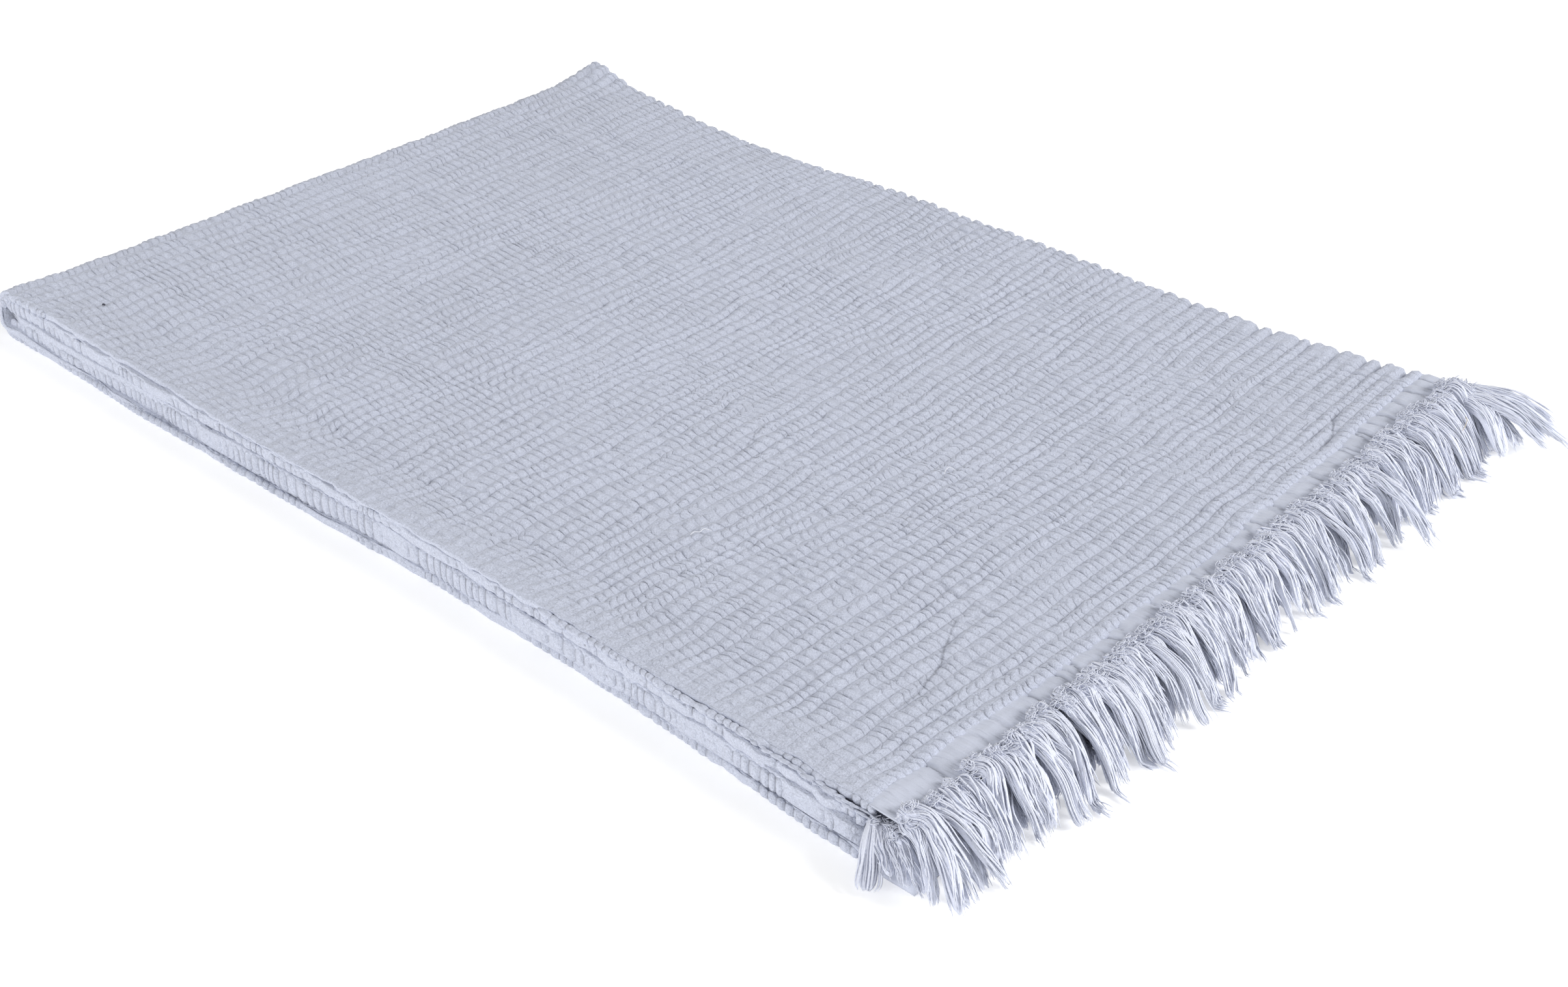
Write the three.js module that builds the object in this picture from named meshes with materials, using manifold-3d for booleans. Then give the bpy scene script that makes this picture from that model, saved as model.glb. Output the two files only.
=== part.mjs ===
// A crinkled muslin blanket with fringed ends, folded in half lengthwise and then crosswise, lying on
// a flat surface. Millimetres, +Z up. X runs along the folded stack from the crosswise fold to the
// fringe, Y across it from the open selvedges to the lengthwise fold.
import * as THREE from "three";
import { mergeVertices } from "three/addons/utils/BufferGeometryUtils.js";
import Module from "manifold-3d";

const wasm = await Module();
wasm.setup();

// Driving sizes of the folded stack. The laying-out frame has x = 0 at the crosswise fold and y = 0 at
// the open selvedges. The finished group is moved so that its box is centred on the origin.
const FOLDED_LENGTH = 945; // crosswise fold to the outer edge of the heading
const FOLDED_WIDTH = 650; // open selvedges to the lengthwise fold
const HEADING_WIDTH = 25; // plain woven strip between the last rib and the fringe
const HEADING_THICKNESS = 2.4;
const PARTING = 0.3; // between the cloth's end and the heading strip
const STACK_HEIGHT = 36.6;

// Each layer's underside and upper side above the surface, and the height of its heading strip.
const LAYERS = {
  first: { under: 30.4, over: STACK_HEIGHT, heading: 34 },
  second: { under: 21.6, over: 28.8, heading: 25.2 },
  third: { under: 9.2, over: 20, heading: 14.6 },
  fourth: { under: 0, over: 7.6, heading: HEADING_THICKNESS / 2 },
};
const HEART = (LAYERS.second.under + LAYERS.third.over) / 2; // level of the crosswise fold's axis
const FOLD_RADIUS = 18.4; // outside of the crosswise fold
const HEART_HOLLOW = 2.2; // extra room inside the innermost turn
const BEND_REACH = 8; // how far the lengthwise fold stands past the last flat line
const BEND_HOLLOW = 1.2;
const LOWER_FOLD_IN = 3; // the lower pair of layers folds this much short of the upper pair
const SELVEDGE_ROUND = 2.5;

// Ribs of the crinkled weave, which run along Y, parallel to the fringe.
const RIB_PITCH = 14;
const RIB_DEPTH = 3;
const RIB_ROWS = [
  { across: 0, rise: -1 },
  { across: 0.28, rise: -0.12 },
  { across: 0.66, rise: 0 },
];
const PLAIN_STRIP = { from: 8, to: 54, depth: 0.3 }; // along the selvedge the ribs are shallower

// The crosswise fold's outermost line, by distance from the selvedges.
const CROSS_FOLD = [
  { y: -10, x: -8 },
  { y: 12, x: -6 },
  { y: 60, x: -1.5 },
  { y: 180, x: 0 },
  { y: 340, x: 2.5 },
  { y: 450, x: 3.5 },
  { y: 560, x: 1 },
  { y: 660, x: -4 },
];

// The lengthwise fold's outermost line, by distance from the crosswise fold.
const LONG_FOLD = [
  { x: -20, y: 657 },
  { x: 35, y: 653 },
  { x: 97, y: 645 },
  { x: 190, y: 636 },
  { x: 310, y: 635 },
  { x: 425, y: 644 },
  { x: 515, y: 641 },
  { x: 645, y: 643.5 },
  { x: 730, y: 643.5 },
  { x: 870, y: 653 },
  { x: 960, y: 660 },
];

// Each layer's selvedge along the open front, by distance from the crosswise fold.
const SELVEDGES = [
  { x: -20, first: 1, second: 0, third: -1, fourth: -6 },
  { x: 100, first: 2, second: 0, third: -2.5, fourth: -4.5 },
  { x: 200, first: 3.5, second: -1, third: -1.5, fourth: -5.5 },
  { x: 300, first: 1.5, second: 0.5, third: -1, fourth: -3 },
  { x: 420, first: 3, second: 1.5, third: 1, fourth: -0.5 },
  { x: 550, first: 5.5, second: 3.5, third: 3, fourth: 4 },
  { x: 690, first: 4, second: 3, third: 1.5, fourth: 3.5 },
  { x: 800, first: 4.5, second: 1, third: 0, fourth: -1 },
  { x: 905, first: 5, second: 1.5, third: -2, fourth: -7 },
  { x: 965, first: 0, second: 2, third: -3, fourth: -9 },
];

// Broad rises and dips of the top, each a soft round hump: centre, half width each way, height.
const HUMPS = [
  { x: 22, y: 648, wide: 30, deep: 26, rise: 9 }, // where both folds meet
  { x: 10, y: 5, wide: 40, deep: 45, rise: 2 },
  { x: 250, y: 640, wide: 130, deep: 40, rise: -4 },
  { x: 935, y: 640, wide: 80, deep: 60, rise: 4 },
  { x: 300, y: 300, wide: 120, deep: 90, rise: 1.2 },
  { x: 640, y: 420, wide: 130, deep: 110, rise: -1.2 },
  { x: 780, y: 180, wide: 100, deep: 90, rise: 1.4 },
];
const FRONT_TROUGH = { y: 50, deep: 15, rise: -3 };
const FRONT_ROLL = { y: 16, deep: 14, rise: 1.5 };
const CORNER_SLIP = 18; // the fourth layer lies a little askew, its front corner this much further out

// Rows of vertices: ribs are fine on the face that shows, other faces have long plain strips.
const EDGE_STEP = 42;
const HIDDEN_STEP = 118;
const HIDDEN_TURN_STEPS = 6;

// The fringe: locks of yarn along each layer's heading, with how each layer's locks fall. Distances are
// outwards from the heading: level until, then down, lying from where they land to their tips.
const LOCK_PITCH = 14;
const LOCK_WIDTH = 8.6;
const LOCK_HEIGHT = 3.4;
const LOCK_ROOT = 2; // how far a root lies inside the heading strip
const FIRST_LOCK = 7; // from the heading's front end
const FALLS = {
  first: { level: 10, lands: 48, tip: 55, longer: 3.5, sweep: -8 },
  second: { level: 7, lands: 38, tip: 42, longer: 1.5, sweep: -16 },
  third: { level: 3, lands: 24, tip: 27, longer: 1, sweep: -24 },
  fourth: { level: 0, lands: 6, tip: 18, longer: 0, sweep: -22 },
};
const FALL_CLEARANCE = 3; // past the heading of the askew fourth layer
const PUSHED_OUT = 0.4; // share of that heading's lead by which the locks above it lie further out
const TUCKED_IN = 0.6; // and by which its own locks are shorter
const COVERED_CORNER = 45; // the fourth layer has no lock nearer the front than this

// Locks of the second layer's front corner, which spill over the open side. Each row is one lock: where
// its root stands along the heading's front end, how far forward its tip lies, and its tip's height.
const SPILLED_LOCKS = [
  { root: 5.5, lead: 18, forward: 27, tip: 0, width: 9 },
  { root: 12, lead: 11, forward: 15, tip: 9.5, width: 6.5 },
  { root: 17, lead: 16, forward: 15.5, tip: 7, width: 6.5 },
  { root: 22, lead: 21, forward: 16, tip: 4.5, width: 6.5 },
];

// Locks round the lengthwise fold at the far corner, fanned out past it.
const FAN_LOCK_WIDTH = 6.9;
const CORNER_FAN = [
  { turn: 12, reach: 60, level: 24, tip: 4 },
  { turn: 26, reach: 72, level: 30, tip: 6 },
  { turn: 42, reach: 50, level: 16, tip: 2 },
];

const COLOURS = { cloth: 0xc3c8d6, upperFringe: 0xd2d6e2, lowerFringe: 0xb6bac9 };

// Smooth curve through a table's rows, read at a place along its first column.
function along(table, key, column, at) {
  const last = table.length - 1;
  if (at <= table[0][key]) return table[0][column];
  if (at >= table[last][key]) return table[last][column];
  const i = table.findIndex((row) => row[key] > at) - 1;
  const rows = [Math.max(i - 1, 0), i, i + 1, Math.min(i + 2, last)].map((k) => table[k]);
  const t = (at - rows[1][key]) / (rows[2][key] - rows[1][key]);
  const slope = (a, b) => ((b[column] - a[column]) / (b[key] - a[key])) * (rows[2][key] - rows[1][key]);
  const m1 = slope(rows[0], rows[2]);
  const m2 = slope(rows[1], rows[3]);
  const p1 = rows[1][column];
  const p2 = rows[2][column];
  return (
    (2 * t ** 3 - 3 * t ** 2 + 1) * p1 +
    (t ** 3 - 2 * t ** 2 + t) * m1 +
    (3 * t ** 2 - 2 * t ** 3) * p2 +
    (t ** 3 - t ** 2) * m2
  );
}

const mix = (a, b, t) => a + (b - a) * t;
const clamp01 = (t) => Math.min(1, Math.max(0, t));
const ease = (t) => clamp01(t) ** 2 * (3 - 2 * clamp01(t));
const bell = (d, width) => Math.exp(-((d / width) ** 2));
const radians = (degrees) => (degrees * Math.PI) / 180;

// How much the top rises or dips at a place, and the same for any height in the stack under it.
function topRise(x, y) {
  const humps = HUMPS.reduce((sum, h) => sum + h.rise * bell(x - h.x, h.wide) * bell(y - h.y, h.deep), 0);
  const front = [FRONT_TROUGH, FRONT_ROLL].reduce((sum, f) => sum + f.rise * bell(y - f.y, f.deep), 0);
  const ripple = 0.7 * Math.sin(x / 61 + y / 140) + 0.5 * Math.sin(x / 33 - y / 72);
  return humps + front + ripple;
}
const settle = ([x, y, z]) => [x, y, z * (1 + topRise(x, y) / STACK_HEIGHT)];

// The outer edge of each layer's heading.
function headingEdge(layer, y) {
  return FOLDED_LENGTH + (layer === "fourth" ? CORNER_SLIP * (1 - y / FOLDED_WIDTH) : 0);
}
const clothEnd = (layer, y) => headingEdge(layer, y) - HEADING_WIDTH - PARTING;

// Rows along the cloth, as distance travelled from the upper fringed end round the crosswise fold.
const RUN = FOLDED_LENGTH - HEADING_WIDTH - PARTING - FOLD_RADIUS;
const TURN = Math.PI * FOLD_RADIUS;
const WHOLE_PATH = 2 * RUN + TURN;

// Rows for the ribbed lines: valley and crest rows over the upper run and the turn, with uneven ribs.
function ribbedRows() {
  const count = Math.round((RUN + TURN) / RIB_PITCH);
  const uneven = (rib) => 1 + 0.2 * Math.sin(2.1 * rib) + 0.12 * Math.sin(5.3 * rib);
  const widths = Array.from({ length: count }, (_, rib) => uneven(rib));
  const total = widths.reduce((sum, w) => sum + w, 0);
  const rows = [];
  let start = 0;
  widths.forEach((w, rib) => {
    const width = (w / total) * (RUN + TURN);
    RIB_ROWS.forEach(({ across, rise }) => rows.push({ s: start + across * width, rise, rib }));
    start += width;
  });
  return [...rows, ...plainRows(RUN + TURN, WHOLE_PATH, HIDDEN_STEP)];
}

function plainRows(from, to, step) {
  const count = Math.max(1, Math.round((to - from) / step));
  return Array.from({ length: count + 1 }, (_, i) => ({ s: mix(from, to, i / count), rise: 0, rib: 0 }));
}

function turnedRows(step, turnSteps) {
  return [
    ...plainRows(0, RUN, step).slice(0, -1),
    ...plainRows(RUN, RUN + TURN, TURN / turnSteps).slice(0, -1),
    ...plainRows(RUN + TURN, WHOLE_PATH, step),
  ];
}

const RIBBED = ribbedRows();
const EDGING = turnedRows(EDGE_STEP, HIDDEN_TURN_STEPS + 2);
const HIDDEN = turnedRows(HIDDEN_STEP, HIDDEN_TURN_STEPS);

// A line of the cloth's section. The outer sheet holds the first and fourth layers, the inner one the
// second and third. across runs from 0 at the selvedge to 1 at the lengthwise fold's last flat line.
const SHEETS = {
  outer: { upper: "first", lower: "fourth" },
  inner: { upper: "second", lower: "third" },
};

// Height from the fold's axis of a sheet's face: part 1 is the side away from the axis, 0 the near one.
function faceLevel(sheet, half, part) {
  const layer = LAYERS[SHEETS[sheet][half]];
  const far = half === "upper" ? layer.over - HEART : HEART - layer.under;
  const near = half === "upper" ? layer.under - HEART : HEART - layer.over;
  return mix(near, far, part);
}

// How deep the valleys beside a rib are at a place across the cloth.
function ribDepth(rib, y) {
  const fade = ease((y - PLAIN_STRIP.from) / (PLAIN_STRIP.to - PLAIN_STRIP.from));
  return RIB_DEPTH * mix(PLAIN_STRIP.depth, 1, fade) * (0.85 + 0.25 * Math.sin(rib * 1.7 + y / 83));
}

// How far the ribs stray from straight lines, least at the fringe and at the crosswise fold.
function ribWander(share, y) {
  const slow = 3 * Math.sin(y / 96 + share * 19);
  const quick = 1.4 * Math.sin(y / 41 + share * 37);
  return (slow + quick) * Math.sqrt(Math.max(0, Math.sin(share * Math.PI)));
}

// Where a line lies at a distance along the path, given its level in each half and its place across.
function sectionPoint(line, row) {
  const { s, rise, rib } = row;
  const turned = clamp01((s - RUN) / TURN);
  const lower = (1 - Math.cos(turned * Math.PI)) / 2;
  const straightX = s < RUN ? RUN + FOLD_RADIUS - s : s - RUN - TURN + FOLD_RADIUS;
  const x0 = turned > 0 && turned < 1 ? 0 : straightX;
  const edge = mix(
    along(SELVEDGES, "x", SHEETS[line.sheet].upper, x0),
    along(SELVEDGES, "x", SHEETS[line.sheet].lower, x0),
    lower,
  );
  const lastFlat = along(LONG_FOLD, "x", "y", x0) - BEND_REACH - LOWER_FOLD_IN * lower;
  const y = mix(edge, lastFlat, line.across) + line.past;
  const level = mix(line.level.upper, line.level.lower, lower) + line.hollow * Math.sin(turned * Math.PI);
  const foldX = along(CROSS_FOLD, "y", "x", y) + FOLD_RADIUS;
  const relief = line.ribbed * rise * ribDepth(rib, y);
  const out = level + relief * line.lean;
  const outY = y + relief * Math.sqrt(1 - line.lean ** 2);
  if (turned > 0 && turned < 1) {
    const angle = turned * Math.PI;
    return [foldX - out * Math.sin(angle), outY, HEART + out * Math.cos(angle)];
  }
  const half = turned === 0 ? "upper" : "lower";
  const end = clothEnd(SHEETS[line.sheet][half], y);
  const share = half === "upper" ? s / RUN : (WHOLE_PATH - s) / RUN;
  const x = mix(end, foldX, share) + ribWander(share, y);
  return [x, outY, half === "upper" ? HEART + out : HEART - out];
}

function flatLine(sheet, part, across, rows, extra = {}) {
  const level = { upper: faceLevel(sheet, "upper", part), lower: faceLevel(sheet, "lower", part) };
  return { sheet, level, across, past: 0, hollow: 0, ribbed: 0, lean: 1, rows, ...extra };
}

// A line round the lengthwise fold. The angle runs from 90 at the outer sheet to -90 at the inner one.
function bendLine(angle, outside, rows) {
  const sine = Math.sin(radians(angle));
  const level = {};
  for (const half of ["upper", "lower"]) {
    const middle = (faceLevel("outer", half, 0) + faceLevel("inner", half, 1)) / 2;
    const far = outside ? faceLevel("outer", half, 1) : faceLevel("outer", half, 0);
    const near = outside ? faceLevel("inner", half, 0) : faceLevel("inner", half, 1);
    level[half] = mix(middle, sine > 0 ? far : near, Math.abs(sine));
  }
  const past = (outside ? BEND_REACH : BEND_HOLLOW) * Math.cos(radians(angle));
  return { sheet: "outer", level, across: 1, past, hollow: 0, ribbed: outside ? 1 : 0, lean: sine, rows };
}

const TOP_LINES = [0.03, 0.075, 0.12, 0.22, 0.34, 0.47, 0.6, 0.73, 0.86, 1];
const HEART_LINES = [1, 0.66, 0.33];
const HEADING_LINES = [0, 0.04, 0.08, 0.12, 0.2, 0.36, 0.52, 0.68, 0.84, 1];

// The two sides of the section, each from the outer sheet's selvedge to the inner sheet's selvedge.
// order says how far round the section a line lies, so that the two sides can be joined at the ends.
const OUTER_SIDE = [
  flatLine("outer", 1, 0, RIBBED, { past: SELVEDGE_ROUND, ribbed: 1, order: 0 }),
  ...TOP_LINES.map((a) => flatLine("outer", 1, a, RIBBED, { ribbed: 1, order: a })),
  ...[62, 22, -22].map((angle) => ({ ...bendLine(angle, true, RIBBED), order: 1.5 - angle / 180 })),
  { ...bendLine(-62, true, HIDDEN), order: 1.5 + 62 / 180 },
  ...HEART_LINES.map((a) => flatLine("inner", 0, a, HIDDEN, { hollow: HEART_HOLLOW, order: 3 - a })),
  flatLine("inner", 0, 0, EDGING, { past: SELVEDGE_ROUND, hollow: HEART_HOLLOW, order: 3 }),
];
const INNER_SIDE = [
  flatLine("outer", 0.78, 0, EDGING, { past: 0.4, order: 0 }),
  flatLine("outer", 0.22, 0, EDGING, { past: 0.4, order: 0 }),
  flatLine("outer", 0, 0, EDGING, { past: SELVEDGE_ROUND, order: 0.01 }),
  ...[...HEART_LINES].reverse().map((a) => flatLine("outer", 0, a, HIDDEN, { order: a })),
  { ...bendLine(0, false, HIDDEN), order: 1.5 },
  ...HEART_LINES.map((a) => flatLine("inner", 1, a, HIDDEN, { order: 3 - a })),
  flatLine("inner", 1, 0, EDGING, { past: SELVEDGE_ROUND, order: 2.99 }),
  flatLine("inner", 0.78, 0, EDGING, { past: 0.4, order: 3 }),
  flatLine("inner", 0.22, 0, EDGING, { past: 0.4, hollow: HEART_HOLLOW / 2, order: 3 }),
];

// Joins two rows of vertices whose places along the way differ, as a strip of triangles.
function zip(first, second, indices) {
  let i = 0;
  let j = 0;
  while (i < first.length - 1 || j < second.length - 1) {
    const stepFirst =
      j === second.length - 1 || (i < first.length - 1 && first[i + 1].at <= second[j + 1].at);
    if (stepFirst) {
      indices.push(first[i].index, second[j].index, first[i + 1].index);
      i += 1;
    } else {
      indices.push(first[i].index, second[j].index, second[j + 1].index);
      j += 1;
    }
  }
}

// A closed strip of cloth: lines of points round its section, zipped side by side, with both ends shut.
function clothGeometry(outerSide, innerSide, pointOf) {
  const positions = [];
  const indices = [];
  const lay = (line) =>
    line.rows.map((row) => {
      positions.push(...settle(pointOf(line, row)));
      return { index: positions.length / 3 - 1, at: row.s };
    });
  const outer = outerSide.map(lay);
  const inner = innerSide.map(lay);
  const round = [...outer, ...[...inner].reverse(), outer[0]];
  for (let k = 0; k < round.length - 1; k += 1) zip(round[k], round[k + 1], indices);
  const endOf = (lines, laid, pick) =>
    laid.map((line, k) => ({ index: pick(line).index, at: lines[k].order }));
  const ends = [(line) => line[0], (line) => line[line.length - 1]];
  ends.forEach((pick, isFar) => {
    const a = endOf(outerSide, outer, pick);
    const b = endOf(innerSide, inner, pick);
    if (isFar) zip(b, a, indices);
    else zip(a, b, indices);
  });
  return closedGeometry(positions, indices);
}

// Turns a closed surface's faces outwards if they face in.
function closedGeometry(positions, indices) {
  const at = (k) => new THREE.Vector3().fromArray(positions, 3 * indices[k]);
  let volume = 0;
  for (let k = 0; k < indices.length; k += 3) volume += at(k).dot(at(k + 1).cross(at(k + 2)));
  if (volume < 0) indices.reverse();
  return new THREE.BufferGeometry()
    .setAttribute("position", new THREE.Float32BufferAttribute(positions, 3))
    .setIndex(indices);
}

// The heading strip of one fringed end: a thin hairpin of cloth across two layers.
function headingLine(half, sheet, part, across, extra = {}) {
  const layer = LAYERS[SHEETS[sheet][half]];
  const thick = mix(-HEADING_THICKNESS / 2, HEADING_THICKNESS / 2, part);
  return { half, sheet, z: layer.heading + thick, across, past: 0, ...extra };
}

function headingSides(half) {
  const far = half === "upper" ? 1 : 0;
  const outerZ = LAYERS[SHEETS.outer[half]].heading;
  const innerZ = LAYERS[SHEETS.inner[half]].heading;
  const bend = (outside) =>
    [65, 22, -22, -65].map((angle) => {
      const middle = (outerZ + innerZ) / 2;
      const swing = Math.abs(outerZ - innerZ) / 2 + (outside ? 1 : -1) * (HEADING_THICKNESS / 2);
      const z = middle + Math.sign(outerZ - innerZ) * swing * Math.sin(radians(angle));
      const past = (BEND_REACH - (outside ? 0 : HEADING_THICKNESS)) * Math.cos(radians(angle));
      return { half, sheet: "outer", z, across: 1, past, order: 1.5 - angle / 180 };
    });
  const run = (sheet, part, backwards) =>
    HEADING_LINES.map((a) => headingLine(half, sheet, part, a, { order: backwards ? 3 - a : a }));
  return {
    outer: [...run("outer", far, false), ...bend(true), ...run("inner", 1 - far, true).reverse()],
    inner: [...run("outer", 1 - far, false), ...bend(false), ...run("inner", far, true).reverse()],
  };
}

const HEADING_ROWS = [0, 0.5, 1].map((s) => ({ s }));

function headingPlace(half, sheet, across, past) {
  const layer = SHEETS[sheet][half];
  const front = along(SELVEDGES, "x", layer, FOLDED_LENGTH);
  const foldedIn = half === "lower" ? LOWER_FOLD_IN : 0;
  const back = along(LONG_FOLD, "x", "y", FOLDED_LENGTH) - BEND_REACH - foldedIn;
  return mix(front, back, across) + past;
}

function headingPoint(line, row) {
  const y = headingPlace(line.half, line.sheet, line.across, line.past);
  const edge = headingEdge(SHEETS[line.sheet][line.half], y);
  return [edge - HEADING_WIDTH * (1 - row.s), y, line.z];
}

// A lock of yarn: a tapering three-sided bar along a path, flat side down, thick in its middle.
function lockGeometry(path, width, height) {
  const up = new THREE.Vector3(0, 0, 1);
  const positions = [];
  const indices = [];
  path.forEach((point, k) => {
    const ahead = path[Math.min(k + 1, path.length - 1)].clone().sub(path[Math.max(k - 1, 0)]);
    const level = new THREE.Vector3(ahead.x, ahead.y, 0).normalize();
    const side = new THREE.Vector3().crossVectors(up, level);
    const along01 = k / (path.length - 1);
    const full = 0.75 + 0.25 * Math.sin(along01 * Math.PI) - 0.3 * along01 ** 2;
    const ridge = new THREE.Vector3().crossVectors(ahead.clone().normalize(), side);
    const rests = point.z < 0.01;
    const lift = (rests ? up : ridge).clone().multiplyScalar(height * full);
    const half = side.multiplyScalar((width * full) / 2);
    for (const corner of [point.clone().sub(half), point.clone().add(half), point.clone().add(lift)])
      positions.push(...settle(corner.toArray()));
    if (k === 0) return;
    const base = 3 * k;
    for (let c = 0; c < 3; c += 1) {
      const d = (c + 1) % 3;
      indices.push(base - 3 + c, base - 3 + d, base + d, base - 3 + c, base + d, base + c);
    }
  });
  const last = 3 * (path.length - 1);
  indices.push(0, 2, 1, last, last + 1, last + 2);
  return closedGeometry(positions, indices);
}

// A lock that leaves the heading level, bends down and lies on the surface at its tip.
function fallingPath(layer, index, y) {
  const fall = FALLS[layer];
  const z = LAYERS[layer].heading - LOCK_HEIGHT / 2;
  const edge = headingEdge(layer, y);
  const sway = 1.6 * Math.sin(index * 0.9) + 1.2 * Math.sin(index * 0.37 + fall.tip);
  const longer = fall.longer * (Math.sin(index * 2.3 + fall.tip) + 0.5 * Math.sin(index * 1.1));
  const sweep = fall.sweep * mix(1, -0.2, ease((y - 420) / 230)) + sway;
  const lead = headingEdge("fourth", y) - FOLDED_LENGTH;
  const lowest = layer === "fourth";
  const slip = lowest ? 0 : Math.max(0, lead + FALL_CLEARANCE - fall.level);
  const lands = fall.lands + slip * PUSHED_OUT;
  const tip = lowest ? fall.tip - lead * TUCKED_IN : fall.tip + slip * PUSHED_OUT + longer;
  const stations = [
    { out: -LOCK_ROOT, drop: 0 },
    { out: fall.level + slip, drop: 0.04 },
    { out: mix(fall.level + slip, lands, 0.45), drop: 0.42 },
    { out: mix(fall.level + slip, lands, 0.8), drop: 0.85 },
    { out: lands, drop: 1 },
    { out: tip, drop: 1 },
  ];
  const short = layer === "fourth" ? [0, 4, 5] : [0, 1, 2, 4, 5];
  const kept = layer === "first" ? stations : short.map((k) => stations[k]);
  return kept.map(({ out, drop }) => {
    const share = clamp01(out / tip);
    return new THREE.Vector3(edge + out, y + sweep * share ** 1.5, Math.max(0, z) * (1 - drop));
  });
}

function spilledPath({ root, lead, forward, tip }) {
  const y = headingPlace("upper", "inner", 0, 0);
  const x = headingEdge("second", 0) - HEADING_WIDTH + root;
  const z = LAYERS.second.heading;
  const stations = [
    { share: 0, out: -LOCK_ROOT, drop: 0 },
    { share: 0.12, out: 5.5, drop: 0.03 },
    { share: 0.45, out: 12, drop: 0.35 },
    { share: 0.75, out: mix(13, forward, 0.45), drop: 0.72 },
    { share: 0.92, out: mix(13, forward, 0.75), drop: 0.97 },
    { share: 1, out: forward, drop: 1 },
  ];
  return stations.map(
    ({ share, out, drop }) => new THREE.Vector3(x + lead * share ** 1.2, y - out, mix(z - 1, tip, drop)),
  );
}

function fannedPath({ turn, reach, level, tip }, index) {
  const y = headingPlace("upper", "outer", 1, BEND_REACH * 0.8) - index * 1.5;
  const edge = headingEdge("first", y);
  const z = (LAYERS.first.heading + LAYERS.second.heading) / 2 + 1 - index * 2.6;
  const heading = radians(turn);
  const stations = [
    { out: -LOCK_ROOT, drop: 0 },
    { out: level * 0.6, drop: 0.02 },
    { out: level, drop: 0.18 },
    { out: mix(level, reach, 0.5), drop: 0.62 },
    { out: reach * 0.92, drop: 1 },
    { out: reach + tip, drop: 1 },
  ];
  return stations.map(({ out, drop }) => {
    const aside = Math.max(0, out) * Math.sin(heading);
    return new THREE.Vector3(edge + out * Math.cos(heading), y + aside, z * (1 - drop));
  });
}

function asSolid(geometry) {
  const merged = mergeVertices(geometry, 1e-4);
  return new wasm.Manifold(
    new wasm.Mesh({
      numProp: 3,
      vertProperties: new Float32Array(merged.attributes.position.array),
      triVerts: new Uint32Array(merged.index.array),
    }),
  );
}

function asGeometry(solid) {
  const { vertProperties, triVerts } = solid.getMesh();
  return new THREE.BufferGeometry()
    .setAttribute("position", new THREE.BufferAttribute(vertProperties, 3))
    .setIndex(new THREE.BufferAttribute(triVerts, 1));
}

// One fringed end: its heading strip with the roots of its locks grown into it.
function fringedEnd(half) {
  const sides = headingSides(half);
  const strip = { rows: HEADING_ROWS };
  const lines = (list) => list.map((line) => ({ ...line, ...strip }));
  const pieces = [clothGeometry(lines(sides.outer), lines(sides.inner), headingPoint)];
  for (const sheet of ["outer", "inner"]) {
    const layer = SHEETS[sheet][half];
    const front = headingPlace(half, sheet, 0, 0) + FIRST_LOCK;
    const back = headingPlace(half, sheet, 1, 0);
    const count = Math.floor((back - front) / LOCK_PITCH);
    for (let i = 0; i <= count; i += 1) {
      const y = mix(front, back, i / count);
      if (layer === "fourth" && y < COVERED_CORNER) continue;
      if (layer === "second" && y < front + LOCK_PITCH / 2) continue;
      pieces.push(lockGeometry(fallingPath(layer, i, y), LOCK_WIDTH, LOCK_HEIGHT));
    }
  }
  if (half === "upper") {
    for (const lock of SPILLED_LOCKS) pieces.push(lockGeometry(spilledPath(lock), lock.width, LOCK_HEIGHT));
    CORNER_FAN.forEach((lock, k) => {
      pieces.push(lockGeometry(fannedPath(lock, k), FAN_LOCK_WIDTH, LOCK_HEIGHT));
    });
  }
  return asGeometry(wasm.Manifold.union(pieces.map(asSolid)));
}

function named(name, geometry, colour, roughness) {
  geometry.computeVertexNormals();
  const material = new THREE.MeshStandardMaterial({ color: colour, roughness, metalness: 0 });
  const mesh = new THREE.Mesh(geometry, material);
  mesh.name = name;
  return mesh;
}

const blanket = new THREE.Group();
blanket.add(
  named("blanket_cloth", clothGeometry(OUTER_SIDE, INNER_SIDE, sectionPoint), COLOURS.cloth, 0.95),
  named("fringe_upper_end", fringedEnd("upper"), COLOURS.upperFringe, 0.9),
  named("fringe_lower_end", fringedEnd("lower"), COLOURS.lowerFringe, 0.9),
);

// The box of the laid blanket is centred over the origin, with its underside on the surface.
const centre = new THREE.Box3().setFromObject(blanket).getCenter(new THREE.Vector3());
blanket.position.set(-centre.x, -centre.y, 0);

export default blanket;
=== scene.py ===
"""Looks of the folded muslin blanket: crinkled cloth, heading strips, yarn fringe and a plain studio.

The blanket is laid out in millimetres with x = 0 at the crosswise fold, y = 0 at the open selvedges
and z = 0 on the floor. LayFrame moves finished points to the shared frame, in metres.
"""

import logging
import math
from dataclasses import dataclass
from enum import Enum

import bpy
import numpy as np
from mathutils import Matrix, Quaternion, Vector


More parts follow.
